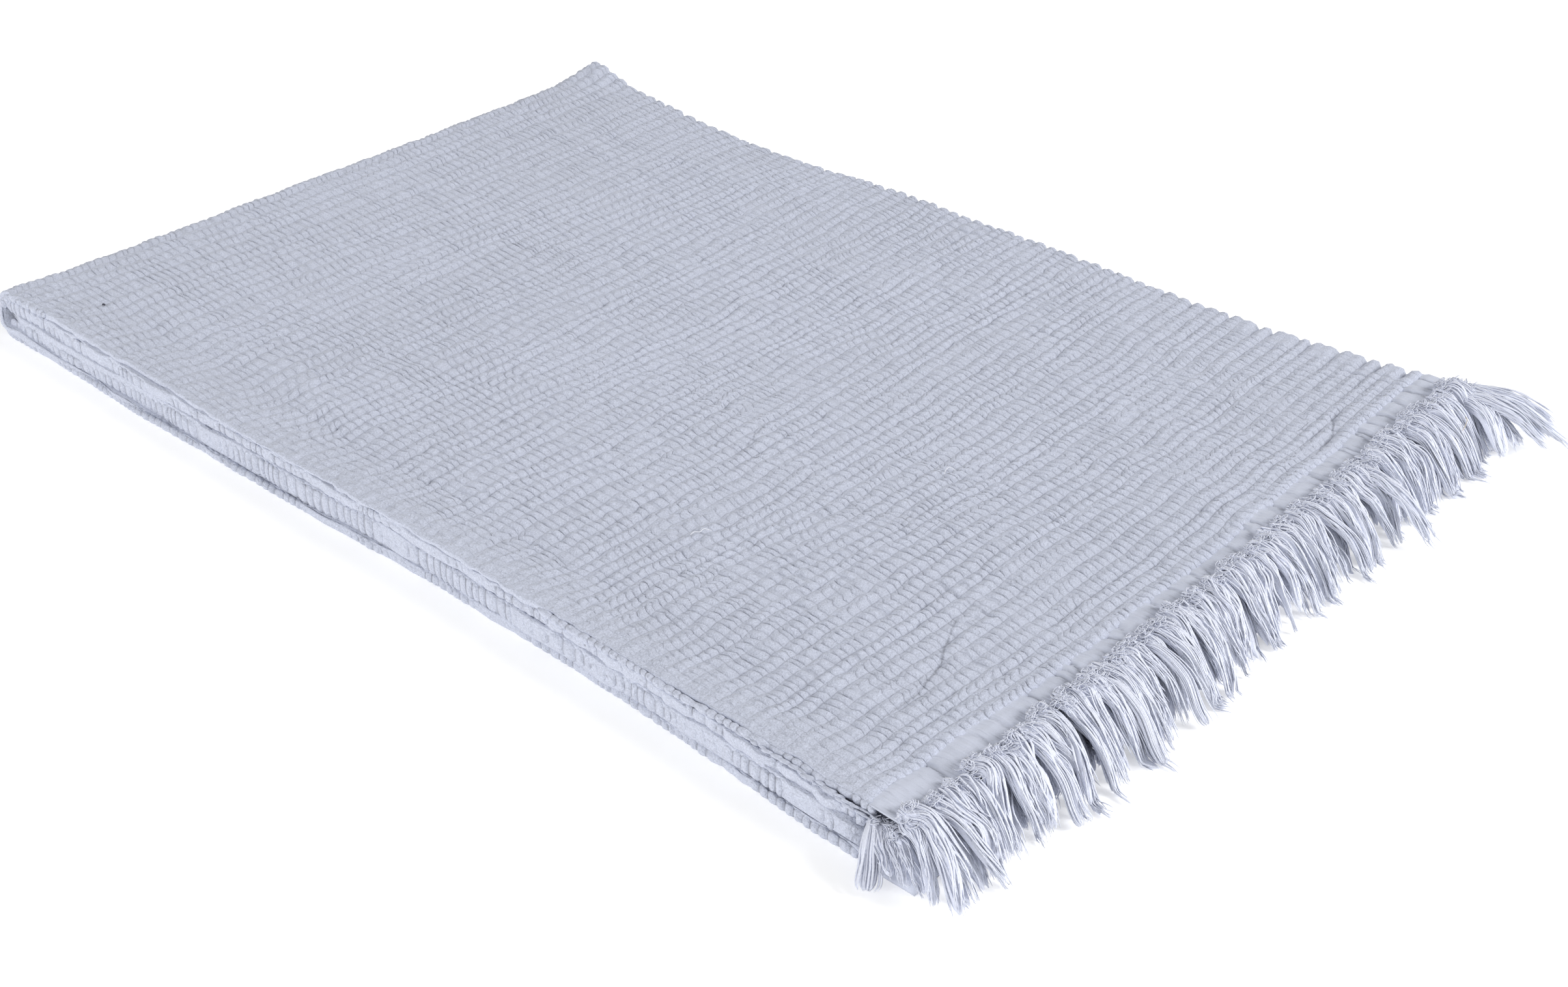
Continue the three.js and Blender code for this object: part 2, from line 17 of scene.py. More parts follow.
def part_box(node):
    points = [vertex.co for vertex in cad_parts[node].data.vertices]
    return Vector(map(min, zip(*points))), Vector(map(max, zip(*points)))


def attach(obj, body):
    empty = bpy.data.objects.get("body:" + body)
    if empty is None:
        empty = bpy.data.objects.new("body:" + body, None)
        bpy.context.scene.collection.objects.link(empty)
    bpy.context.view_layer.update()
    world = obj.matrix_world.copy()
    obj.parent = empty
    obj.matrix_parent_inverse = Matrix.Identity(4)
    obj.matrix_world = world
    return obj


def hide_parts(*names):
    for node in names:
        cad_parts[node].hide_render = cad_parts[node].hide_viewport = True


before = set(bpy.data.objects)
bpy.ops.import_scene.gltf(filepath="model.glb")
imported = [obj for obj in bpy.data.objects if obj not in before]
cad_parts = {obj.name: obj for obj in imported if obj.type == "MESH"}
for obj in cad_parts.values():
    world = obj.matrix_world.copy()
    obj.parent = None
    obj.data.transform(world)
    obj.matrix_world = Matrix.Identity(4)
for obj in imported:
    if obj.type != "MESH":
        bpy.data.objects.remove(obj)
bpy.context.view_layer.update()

log = logging.getLogger("blanket")

# A number, or an array with a number for each place.
Places = float | np.ndarray

# A share of a turn that spreads a row of numbers evenly.
GOLDEN = 0.618

WHITE = (1.0, 1.0, 1.0, 1.0)


class Node(Enum):
    """The solids that the pieces here stand in for."""

    CLOTH = "blanket_cloth"
    UPPER_END = "fringe_upper_end"
    LOWER_END = "fringe_lower_end"


class Slot(Enum):
    """The material slots."""

    MUSLIN = "crinkled_muslin"
    HEADING = "heading_weave"
    YARN = "fringe_yarn"
    LINT = "lint"
    STRAY = "stray_thread"


class Layer(Enum):
    """The four layers of cloth, from the top down."""

    FIRST = 0
    SECOND = 1
    THIRD = 2
    FOURTH = 3


def mix(a: Places, b: Places, t: Places) -> Places:
    """Returns the value between a and b at share t."""
    return a + (b - a) * t


def ease(t: Places) -> Places:
    """Returns t held between 0 and 1, with soft ends."""
    t = np.clip(t, 0.0, 1.0)
    return t * t * (3 - 2 * t)


def bell(distance: Places, width: float) -> Places:
    """Returns 1 in the middle of a soft round hump and 0 far from it."""
    return np.exp(-((distance / width) ** 2))


def unit(vectors: np.ndarray, least: float = 1e-9) -> np.ndarray:
    """Returns the vectors at length 1, or shorter where their own length is under the least."""
    return vectors / np.maximum(np.linalg.norm(vectors, axis=-1, keepdims=True), least)


def passed_along(points: np.ndarray) -> np.ndarray:
    """Returns the length of a flat line that is passed at each of its points."""
    return np.concatenate([[0], np.cumsum(np.hypot(*np.diff(points, axis=0).T))])


class Curve:
    """A smooth curve through a table of places and values."""

    def __init__(self, *knots: tuple[float, float]) -> None:
        """Keeps the table.

        Args:
            knots: place and value of each row, in rising order of place.
        """
        self.places, self.values = np.array(knots, float).T

    def at(self, place: Places) -> np.ndarray:
        """Reads the curve, with a cubic in each span whose end slopes point at the next rows.

        Args:
            place: where to read it, as a number or an array.

        Returns:
            The values there; past either end, the end's own value.
        """
        x, y = self.places, self.values
        last = len(x) - 1
        t = np.clip(place, x[0], x[-1])
        i = np.clip(np.searchsorted(x, t, side="right") - 1, 0, last - 1)
        before, after = np.maximum(i - 1, 0), np.minimum(i + 2, last)
        span = x[i + 1] - x[i]
        u = (t - x[i]) / span
        start = (y[i + 1] - y[before]) / (x[i + 1] - x[before]) * span
        end = (y[after] - y[i]) / (x[after] - x[i]) * span
        return (
            (2 * u**3 - 3 * u**2 + 1) * y[i]
            + (u**3 - 2 * u**2 + u) * start
            + (3 * u**2 - 2 * u**3) * y[i + 1]
            + (u**3 - u**2) * end
        )


def through(knots: tuple[tuple[float, ...], ...], t: np.ndarray) -> np.ndarray:
    """Lays a smooth line through knots that are spread evenly from 0 to 1.

    Args:
        knots: the knots, each with x, y and z.
        t: places along the line, from 0 to 1.

    Returns:
        The points there, one a row.
    """
    share = np.linspace(0, 1, len(knots))
    return np.stack([Curve(*zip(share, values)).at(t) for values in zip(*knots)], -1)


class Noise:
    """Smooth seeded noise over a plane, from about -1 to 1."""

    SIDE = 97
    GAIN = 1.3

    def __init__(self, seed: int) -> None:
        """Draws the lattice of values from the seed."""
        self.values = np.random.default_rng(seed).uniform(-1, 1, (self.SIDE, self.SIDE))

    def at(self, u: Places, v: Places) -> np.ndarray:
        """Blends the four lattice values round each place with soft weights.

        Args:
            u: first coordinate, in lattice steps.
            v: second coordinate, in lattice steps.

        Returns:
            The noise at each place.
        """
        u, v = np.broadcast_arrays(np.asarray(u, float), np.asarray(v, float))
        i, j = np.floor(u).astype(int), np.floor(v).astype(int)
        a, b = ease(u - i), ease(v - j)
        i0, i1, j0, j1 = i % self.SIDE, (i + 1) % self.SIDE, j % self.SIDE, (j + 1) % self.SIDE
        low = mix(self.values[i0, j0], self.values[i1, j0], a)
        high = mix(self.values[i0, j1], self.values[i1, j1], a)
        return mix(low, high, b) * self.GAIN


@dataclass(frozen=True)
class LayFrame:
    """Moves points from the lay-out in millimetres to the shared frame in metres."""

    shift: tuple[float, float]

    # Lowest corner of the cloth's solid in the lay-out.
    CLOTH_LOW = (-6.9, -7.2)

    @classmethod
    def of_cloth(cls) -> "LayFrame":
        """Finds the shift from where the cloth's solid lies in the frame."""
        low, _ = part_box(Node.CLOTH.value)
        return cls((low.x - cls.CLOTH_LOW[0] * 1e-3, low.y - cls.CLOTH_LOW[1] * 1e-3))

    def place(self, points: np.ndarray) -> np.ndarray:
        """Returns points of the lay-out, with x, y and z last, in the shared frame."""
        return points * 1e-3 + np.array([*self.shift, 0.0])


@dataclass(frozen=True)
class LayerLevels:
    """Heights of one layer above the floor, in millimetres."""

    under: float
    over: float
    heading: float


@dataclass(frozen=True)
class Hump:
    """A broad soft rise or dip of the top: its middle, half widths and height."""

    x: float
    y: float
    wide: float
    deep: float
    rise: float


@dataclass(frozen=True)
class FoldedStack:
    """How the folded blanket lies: its folds, selvedges and layer heights, in millimetres."""

    length: float = 945.0
    width: float = 650.0
    height: float = 36.6
    heading_width: float = 25.0
    heading_thickness: float = 1.5
    parting: float = 0.3
    fold_radius: float = 18.4
    bend_reach: float = 8.0
    lower_fold_in: float = 3.0
    corner_slip: float = 18.0

    LEVELS = {
        Layer.FIRST: LayerLevels(30.4, 36.6, 35.0),
        Layer.SECOND: LayerLevels(21.6, 28.8, 25.2),
        Layer.THIRD: LayerLevels(9.2, 20.0, 14.6),
        Layer.FOURTH: LayerLevels(0.0, 7.6, 1.2),
    }
    HEART = 20.8
    CROSS_FOLD = Curve(
        (-10, -7), (12, -6), (60, -4.5), (180, -1), (340, 2.5), (450, 3.5), (560, 1), (660, -4)
    )
    LONG_FOLD = Curve(
        (-20, 657), (35, 653), (97, 645), (190, 636), (310, 635), (425, 644), (515, 641), (645, 643.5),
        (730, 643.5), (870, 653), (960, 660),
    )  # fmt: skip
    SELVEDGES = {
        Layer.FIRST: Curve(
            (-20, 0), (100, 0.5), (200, 1.5), (300, 1), (420, 2), (550, 4), (690, 3.2), (800, 2.8),
            (905, 3.2), (965, 0),
        ),
        Layer.SECOND: Curve(
            (-20, 0), (100, 0), (200, -0.5), (300, 0.5), (420, 1.5), (550, 3.5), (690, 2.5), (800, 0.5),
            (905, -1), (965, -1),
        ),
        Layer.THIRD: Curve(
            (-20, -1), (100, -2.5), (200, -1.5), (300, -1), (420, 1), (550, 3), (690, 2), (800, -1),
            (905, -5.5), (965, -7),
        ),
        Layer.FOURTH: Curve(
            (-20, -6), (100, -4.5), (200, -5.5), (300, -3), (420, -0.5), (550, 4), (690, 3.5), (800, -1),
            (905, -7), (965, -9),
        ),
    }  # fmt: skip
    # How far the last rib laps over the upper heading at each place along it.
    HEADING_COVER = Curve(
        (0, 0), (40, 0), (90, 3), (160, 8), (260, 9), (400, 8), (500, 5), (570, 2), (650, 0)
    )  # fmt: skip
    HUMPS = (
        Hump(22, 648, 30, 26, 9),
        Hump(10, 5, 40, 45, 2),
        Hump(250, 640, 130, 40, -4),
        Hump(935, 640, 80, 60, 4),
        Hump(300, 300, 120, 90, 1.2),
        Hump(640, 420, 130, 110, -1.2),
        Hump(780, 180, 100, 90, 1.4),
    )

    @property
    def run(self) -> float:
        """Length of the cloth from its ribbed end to where the crosswise fold starts to turn."""
        return self.length - self.heading_width - self.parting - self.fold_radius

    @property
    def turn(self) -> float:
        """Length of the cloth round the crosswise fold."""
        return math.pi * self.fold_radius

    def top_rise(self, x: Places, y: Places) -> np.ndarray:
        """Adds up the humps, the trough and roll along the selvedges and a slow ripple.

        Args:
            x: distance from the crosswise fold.
            y: distance from the open selvedges.

        Returns:
            How much the top rises there.
        """
        rise = sum(h.rise * bell(x - h.x, h.wide) * bell(y - h.y, h.deep) for h in self.HUMPS)
        front = (-3 * bell(y - 50, 15) + 1.5 * bell(y - 16, 14)) * ease((x - 10) / 90)
        ripple = 0.7 * np.sin(x / 61 + y / 140) + 0.5 * np.sin(x / 33 - y / 72)
        return rise + front + ripple

    def settle(self, x: Places, y: Places, z: Places) -> np.ndarray:
        """Returns the height of a point once the whole stack under it follows the rises of the top."""
        return z * (1 + self.top_rise(x, y) / self.height)

    def heading_edge(self, layer: Layer, y: Places) -> np.ndarray:
        """Returns where a layer's heading ends; the fourth layer lies a little askew."""
        slip = self.corner_slip * (1 - np.asarray(y) / self.width) * (layer is Layer.FOURTH)
        return self.length + slip

    def cloth_end(self, layer: Layer, y: Places) -> np.ndarray:
        """Returns where a layer's ribbed cloth ends."""
        return self.heading_edge(layer, y) - self.heading_width - self.parting


def signed_volume(points: np.ndarray, triangles: np.ndarray) -> float:
    """Returns the volume inside closed triangles, below zero if they face inwards."""
    a, b, c = (points[triangles[:, k]] for k in range(3))
    return float(np.einsum("ij,ij->i", a, np.cross(b, c)).sum() / 6)


class Surface:
    """Gathers points and faces as whole arrays and turns them into one mesh object."""

    # The maps that hold the marks, two numbers each.
    MAPS = ("first", "second", "third")

    def __init__(self) -> None:
        """Starts with nothing gathered."""
        self.points: list[np.ndarray] = []
        self.faces: list[np.ndarray] = []
        self.marks: list[np.ndarray] = []
        self.count = 0

    def add(self, points: np.ndarray, faces: list[np.ndarray], marks: np.ndarray | None = None) -> None:
        """Adds a shape.

        Args:
            points: its points, one a row, in the lay-out.
            faces: arrays of point numbers, one face a row.
            marks: up to six numbers for each point, read by the finishes; the rest are zeros.
        """
        full = np.zeros((len(points), 2 * len(self.MAPS)))
        if marks is not None:
            full[:, : marks.shape[1]] = marks
        self.points.append(points)
        self.faces.extend(f + self.count for f in faces)
        self.marks.append(full)
        self.count += len(points)

    def build(self, name: str, lay: LayFrame, material: bpy.types.Material) -> bpy.types.Object:
        """Makes the mesh object, with the marks in its maps.

        Args:
            name: the object's name.
            lay: where the lay-out lies in the frame.
            material: its finish.

        Returns:
            The object, linked to the scene and smooth.
        """
        points = lay.place(np.concatenate(self.points))
        marks = np.concatenate(self.marks)
        sizes = np.concatenate([np.full(len(f), f.shape[1]) for f in self.faces])
        corners = np.concatenate([f.ravel() for f in self.faces])
        mesh = bpy.data.meshes.new(name)
        mesh.vertices.add(len(points))
        mesh.vertices.foreach_set("co", points.ravel().astype(np.float32))
        mesh.loops.add(len(corners))
        mesh.loops.foreach_set("vertex_index", corners.astype(np.int32))
        mesh.polygons.add(len(sizes))
        starts = np.concatenate([[0], np.cumsum(sizes)[:-1]])
        mesh.polygons.foreach_set("loop_start", starts.astype(np.int32))
        for k, label in enumerate(self.MAPS):
            layer = mesh.uv_layers.new(name=label)
            layer.data.foreach_set("uv", marks[corners, 2 * k : 2 * k + 2].ravel().astype(np.float32))
        mesh.update(calc_edges=True)
        mesh.validate()
        mesh.shade_smooth()
        mesh.materials.append(material)
        piece = bpy.data.objects.new(name, mesh)
        bpy.context.scene.collection.objects.link(piece)
        triangles = int((sizes - 2).sum())
        log.info("%s: %d points, %d triangles", name, len(points), triangles)
        return piece


def closed_grid(points: np.ndarray) -> list[np.ndarray]:
    """Joins a grid of points into a closed tube with shut ends.

    Args:
        points: grid with the way round the section first, then the way along, then x, y and z.

    Returns:
        Its faces, as arrays of point numbers that face outwards.
    """
    rows, columns = points.shape[:2]
    number = np.arange(rows * columns).reshape(rows, columns)
    near, far = number, np.roll(number, -1, axis=0)
    sides = np.stack([near[:, :-1], near[:, 1:], far[:, 1:], far[:, :-1]], -1).reshape(-1, 4)
    ends = [number[:, 0][None, :], number[::-1, -1][None, :]]
    flat = points.reshape(-1, 3)
    triangles = np.concatenate([sides[:, [0, 1, 2]], sides[:, [0, 2, 3]]])
    if signed_volume(flat - flat.mean(0), triangles) < 0:
        return [sides[:, ::-1], *(end[:, ::-1] for end in ends)]
    return [sides, *ends]


@dataclass(frozen=True)
class Crease:
    """One of the main creases of the top, as a thin trough along a bent line."""

    line: tuple[tuple[float, float], ...]
    depth: float

    # The furthest distance that is told apart.
    FAR = 20

    def reach(self, x: np.ndarray, y: np.ndarray) -> tuple[np.ndarray, np.ndarray]:
        """Measures how far each place lies from the crease.

        Args:
            x: distance from the crosswise fold.
            y: distance from the open selvedges.

        Returns:
            The distance, below zero on one side, and the crease's depth there, which fades at both ends.
        """
        line = np.array(self.line, float)
        lengths = np.hypot(*np.diff(line, axis=0).T)
        passed = passed_along(line)
        nearest, away, along = (np.full(np.shape(x), value) for value in (1e9, 0.0, 0.0))
        for (ax, ay), (bx, by), start, length in zip(line[:-1], line[1:], passed, lengths):
            dx, dy = (bx - ax) / length, (by - ay) / length
            t = np.clip((x - ax) * dx + (y - ay) * dy, 0, length)
            distance = np.hypot(x - ax - t * dx, y - ay - t * dy)
            side = np.where((x - ax) * dy > (y - ay) * dx, 1, -1)
            closer = distance < nearest
            nearest = np.where(closer, distance, nearest)
            away = np.where(closer, distance * side, away)
            along = np.where(closer, start + t, along)
        share = along / passed[-1]
        return np.clip(away, -self.FAR, self.FAR), self.depth * np.sqrt(4 * share * (1 - share))


@dataclass(frozen=True)
class CrinkleSizes:
    """Sizes of the ribs and of the lobes that fine creases break them into, in millimetres."""

    rib_pitch: float = 12.4
    rib_growth: float = 0.34
    lobe_pitch: float = 6.6
    rib_depth: float = 2.2
    lobe_depth: float = 1.15
    cell_rise: float = 0.5
    finger_depth: float = 0.7
    underside_share: float = 0.35
    lip_share: float = 0.3
    end_droop: float = 1.5
    hollow: float = 2.2
    inner_bend: float = 1.2
    tucked: float = 6.0
    lifted: float = 5.0
    main_depth: float = 2.2
    main_width: float = 2.6
    rib_shares: tuple[float, ...] = (0.0, 0.34, 0.66)
    lobe_shares: tuple[float, ...] = (0.0, 0.32, 0.68)
    plain_step: float = 18.0
    edge_steps: int = 7
    edge_round: float = 2.2
    groove: float = 0.8
    bend_steps: int = 10


class CrinkledCloth:
    """The cloth: one sheet folded lengthwise and crosswise, ribbed over the faces that show."""

    # Heights of the creases between the layers along the open side, and how wide each stands open.
    CREASES = {
        "upper": (
            Curve((0, 29), (150, 31.5), (400, 33.6), (700, 32), (945, 29.8)),
            Curve((0, 0.3), (16, 0.9), (60, 0.3), (300, 0.2), (560, 0.2), (720, 0.3), (840, 0.7), (945, 0.7)),
        ),
        "middle": (
            Curve((0, 19), (120, 21), (300, 24), (500, 25.3), (700, 23), (850, 21.5), (945, 20.5)),
            Curve((0, 1.0), (60, 0.9), (300, 0.5), (520, 0.5), (700, 0.2), (850, 0.3), (945, 1.2)),
        ),
        "lower": (
            Curve((0, 10.5), (35, 9.5), (80, 7), (350, 6), (550, 8.5), (750, 7.6), (945, 8.2)),
            Curve((0, 5), (14, 3.6), (32, 1.2), (60, 0.3), (350, 0.2), (550, 0.2), (700, 0.1), (945, 0.1)),
        ),
    }
    # How far the upper crease and the second layer's selvedge loop out of line along the open side.
    LOOPS = Curve((0, 0.3), (700, 0.4), (820, 1.6), (880, 3.4), (925, 3.0), (945, 1.0))
    MAIN_CREASES = (
        Crease(((846, 176), (858, 148), (869, 129), (876, 98), (875, 54)), 1.0),
        Crease(((896, 566), (898, 555), (909, 535), (912, 520), (914, 502)), 1.0),
        Crease(((816, 195), (835, 193), (854, 192), (866, 190)), 0.7),
        Crease(((696, 214), (707, 209), (718, 205)), 0.7),
        Crease(((597, 265), (605, 236)), 0.7),
        Crease(((751, 250), (754, 227)), 0.7),
    )

    # Where the hidden lines of a face lie across the stack, and those inside the bend round it.
    HIDDEN_LINES = (1.0, 0.8, 0.55, 0.3, 0.1, 0.03)
    INNER_ANGLES = (-50, 0, 50)
    # Near the selvedges, up to this share of the width, the layers' faces follow the creases.
    EDGE_SHARE = 0.07
    # How near to its line a column counts as in a valley, as a share of a rib.
    IN_VALLEY = 0.05

    def __init__(self, stack: FoldedStack, sizes: CrinkleSizes) -> None:
        """Keeps what the cloth follows.

        Args:
            stack: how the blanket lies.
            sizes: the sizes of its crinkle.
        """
        self.stack = stack
        self.sizes = sizes
        self.noise = [Noise(seed) for seed in range(11, 23)]

    @staticmethod
    def _uneven(
        count: int, shares: tuple[float, ...], phase: float, growth: float
    ) -> tuple[np.ndarray, np.ndarray]:
        """Splits a length into uneven parts, whose widths follow two sines and a growth.

        Args:
            count: how many ribs or lobes there are.
            shares: the places inside each that get a line of points.
            phase: picks the unevenness.
            growth: how much wider they get in the second half.

        Returns:
            The number of each line, whole at a valley, and its share of the length.
        """
        number = np.arange(count)
        widths = 1 + 0.14 * np.sin(2.1 * number + phase) + 0.1 * np.sin(5.3 * number)
        widths = widths + growth * ease((number / count - 0.5) / 0.45)
        starts = np.concatenate([[0], np.cumsum(widths / widths.sum())])
        inside = np.array(shares)
        numbers = (np.arange(count)[:, None] + inside).ravel()
        places = (starts[:-1, None] + inside * np.diff(starts)[:, None]).ravel()
        return np.append(numbers, count), np.append(places, 1.0)

    def columns(self) -> tuple[np.ndarray, np.ndarray]:
        """Lists the columns along the cloth: three a rib to the end of the fold, then wider ones.

        Returns:
            Each column's rib number and its distance along the cloth, from the upper end on.
        """
        stack, sizes = self.stack, self.sizes
        ribbed = stack.run + stack.turn
        ribs = round(ribbed / sizes.rib_pitch)
        numbers, places = self._uneven(ribs, sizes.rib_shares, 1, sizes.rib_growth)
        count = round(stack.run / sizes.plain_step)
        rest = np.arange(1, count + 1) / count
        more = numbers[-1] + rest * stack.run / sizes.rib_pitch
        return np.append(numbers, more), np.append(places * ribbed, ribbed + rest * stack.run)

    def lines(self) -> dict[str, np.ndarray]:
        """Lists the lines round the cloth's section, starting at the top face's selvedge.

        Returns:
            For each line: lobe (its lobe number), across (0 at the selvedge, 1 at the lengthwise fold),
            inner (1 on the inner sheet), part (0 on the face towards the fold's axis, 1 on the other),
            past (distance beyond its place across), angle (round the bend, or nan) and outside.
        """
        sizes, hidden, nan = self.sizes, self.HIDDEN_LINES, math.nan
        rows: list[tuple[float, ...]] = []
        lobes = round(self.stack.width / sizes.lobe_pitch)
        numbers, places = self._uneven(lobes, sizes.lobe_shares, 2, 0)
        rows += [(n, a, 0, 1, 0, nan, 1) for n, a in zip(numbers[2:], places[2:])]
        last = numbers[-1]
        for k in range(sizes.bend_steps):
            share = (k + 0.6) / (sizes.bend_steps + 0.2)
            rows.append((last + share * 10 / 3, 1, 0, 1, 0, 90 - 180 * share, 1))
        rows += [(last + 4 + k, a, 1, 0, 0, nan, 0) for k, a in enumerate(hidden)]
        rows += self._edge(1, last + 11)
        rows += [(last + 12 + k, a, 1, 1, 0, nan, 0) for k, a in enumerate(hidden[::-1])]
        rows += [(last + 18, 1, 0, 0, 0, angle, 0) for angle in self.INNER_ANGLES]
        rows += [(last + 19 + k, a, 0, 0, 0, nan, 0) for k, a in enumerate(hidden)]
        rows += self._edge(0, 0)
        names = ("lobe", "across", "inner", "part", "past", "angle", "outside")
        table = np.array(rows, float)
        return {name: table[:, k][:, None] for k, name in enumerate(names)}

    def _edge(self, inner: int, lobe: float) -> list[tuple[float, ...]]:
        """Lists the lines round one sheet's selvedge, a squarish half round from one face to the other.

        Args:
            inner: 1 for the inner sheet and 0 for the outer one.
            lobe: their lobe number.

        Returns:
            A row for each line, as in lines.
        """
        turn = np.radians(np.linspace(-90, 90, self.sizes.edge_steps))
        reach = np.where((turn > 0) & (inner < 1), self.sizes.edge_round, self.sizes.groove)
        part, past = 0.5 + 0.5 * np.sin(turn), reach * (1 - np.cos(turn)) ** 1.6
        return [(lobe, 0, inner, p, q, math.nan, 0) for p, q in zip(part, past)]

    def _levels(self, line: dict[str, np.ndarray], x: np.ndarray) -> tuple[np.ndarray, np.ndarray]:
        """Finds each line's height from the fold's axis in the upper and lower half.

        Near the selvedges the layers' faces follow the creases of the open side, and further in they
        are level. Round the bend the height swings from the outer sheet's face to the inner sheet's.

        Args:
            line: the lines of the section.
            x: distance of each place from the crosswise fold.

        Returns:
            Heights above the axis in the upper half and below it in the lower half.
        """
        levels, heart = self.stack.LEVELS, self.stack.HEART
        near_edge = 1 - ease(line["across"] / self.EDGE_SHARE)
        crease = {}
        for name, (height, gap) in self.CREASES.items():
            k = 3.7 * len(crease)
            wobble = 0.8 * self.noise[10].at(x / 38, k) + 0.5 * self.noise[11].at(x / 13, k)
            wobble = wobble + (name == "upper") * self.LOOPS.at(x) / 2 * self.noise[9].at(x / 6.5, 4.4)
            wobble = wobble + 0.5 * self.noise[3].at(x / 6, k)
            opening = gap.at(x) / 2 * np.maximum(1 + 1.2 * self.noise[9].at(x / 12, k), 0.2)
            crease[name] = (height.at(x) + wobble - opening, height.at(x) + wobble + opening)

        def face(flat: float, edge: np.ndarray) -> np.ndarray:
            """Returns the height of a face: its own further in, and the crease's at the selvedge."""
            return mix(flat, edge, near_edge)

        first, second = levels[Layer.FIRST], levels[Layer.SECOND]
        third, fourth = levels[Layer.THIRD], levels[Layer.FOURTH]
        top, middle, bottom = crease["upper"], crease["middle"], crease["lower"]
        upper = {
            "outer": (face(first.under, top[1]) - heart, first.over - heart),
            "inner": (face(second.under, middle[1]) - heart, face(second.over, top[0]) - heart),
        }
        lower = {
            "outer": (heart - face(fourth.over, bottom[0]), heart - fourth.under),
            "inner": (heart - face(third.over, middle[0]), heart - face(third.under, bottom[1])),
        }
        result = []
        for half in (upper, lower):
            flat = mix(
                mix(half["outer"][0], half["outer"][1], line["part"]),
                mix(half["inner"][0], half["inner"][1], line["part"]),
                line["inner"],
            )
            bent = self._bend_level(half, line)
            result.append(np.where(np.isnan(line["angle"]), flat, bent))
        return result[0], result[1]

    @staticmethod
    def _bend_level(half: dict[str, tuple], line: dict[str, np.ndarray]) -> np.ndarray:
        """Finds the height of the bend's lines, which follow a half ellipse between two sheets' faces.

        Args:
            half: the near and far face of the outer and the inner sheet in one half of the stack.
            line: the lines of the section.

        Returns:
            The heights away from the axis.
        """
        sine = np.sin(np.radians(np.nan_to_num(line["angle"])))
        middle = (half["outer"][0] + half["inner"][1]) / 2
        far = np.where(line["outside"] > 0, half["outer"][1], half["outer"][0])
        near = np.where(line["outside"] > 0, half["inner"][0], half["inner"][1])
        return mix(middle, np.where(sine > 0, far, near), np.abs(sine))

    def _depths(
        self, rib: np.ndarray, lobe: np.ndarray, x: np.ndarray, y: np.ndarray
    ) -> tuple[np.ndarray, np.ndarray]:
        """Finds how deep the ribs and the creases between lobes are at each place.

        Both vary slowly over the cloth. The ribs are deeper beside the heading, and both are faint in
        the plain strip along the selvedges.

        Args:
            rib: rib number.
            lobe: lobe number.
            x: distance from the crosswise fold.
            y: distance from the selvedges.

        Returns:
            The share of the full depth for ribs and for lobes.
        """
        n = self.noise
        strip = mix(0.8, 0.45, ease((x - 150) / 500))
        plain = mix(strip, 1, ease((y - 8) / 30))
        ribs = 0.98 + 0.1 * n[0].at(rib / 3.1, lobe / 9) + 0.15 * n[1].at(rib, lobe / 5)
        ribs = ribs + 0.28 * n[2].at(rib * 1.3 + 7.3, lobe * 0.8)
        ribs = ribs + 0.12 * bell(x - 908, 30) - 0.05 * ease((x - 600) / 250) * ease((y - 200) / 200)
        lobes = 1.1 + 0.2 * n[2].at(rib * 1.7, lobe * 1.3) + 0.15 * n[3].at(rib / 5, lobe / 7)
        lobes = lobes + 0.15 * ease((x - 600) / 250)
        return np.clip(ribs, 0.3, 1.8) * plain, np.clip(lobes, 0.3, 1.6) * plain

    def _across(
        self, line: dict[str, np.ndarray], rib: np.ndarray, x: np.ndarray, low: np.ndarray
    ) -> np.ndarray:
        """Places the grid across the stack, from the selvedges to the lengthwise fold.

        The fold has a knuckle at every rib, half a sine's wave. Lobes lean, lie staggered from rib to
        rib and drift.

        Args:
            line: the lines of the section.
            rib: rib number of each column.
            x: distance of each column from the crosswise fold.
            low: 0 on the upper run and 1 on the lower run.

        Returns:
            The distance of each point from the open selvedges, before the crinkle's depth.
        """
        stack, n, lobe = self.stack, self.noise, line["lobe"]
        edges = {k: stack.SELVEDGES[k].at(x) + self._ruffle(k, x) for k in Layer}
        edge = mix(
            mix(edges[Layer.FIRST], edges[Layer.FOURTH], low),
            mix(edges[Layer.SECOND], edges[Layer.THIRD], low),
            line["inner"],
        )
        knuckles = np.abs(np.sin(x / 11.6 + 1.6 * n[8].at(x / 70, 2.5))) ** 0.6 - 0.6
        bumps = mix(2.4, 0.6, ease(x / 700)) * knuckles + 0.7 * n[10].at(x / 21, 5.5)
        last_flat = stack.LONG_FOLD.at(x) - stack.bend_reach - stack.lower_fold_in * low + bumps
        bend_out = np.where(line["outside"] > 0, stack.bend_reach, self.sizes.inner_bend)
        round_bend = bend_out * np.cos(np.radians(np.nan_to_num(line["angle"])))
        y = mix(edge, last_flat, line["across"]) + np.where(np.isnan(line["angle"]), line["past"], round_bend)
        inside = ease(line["across"] * 12) * ease((1 - line["across"]) * 12) * (line["outside"] > 0)
        own = np.floor(rib)
        slant = np.sin(2 * math.pi * (rib - own)) * (0.3 + 0.5 * n[4].at(rib / 8, lobe / 8))
        middle = np.where(rib - own < 0.01, rib - 0.5, own + 0.5)
        stagger = 0.9 * mix(n[5].at(middle * 1.9, lobe / 6), n[5].at(own * 1.9 + 0.95, lobe / 6), 0.5)
        drift = 1.2 * n[6].at(rib / 2.2, lobe / 2.6) + 2.2 * n[6].at(rib / 13, lobe / 12)
        return y + inside * (slant + stagger + drift)

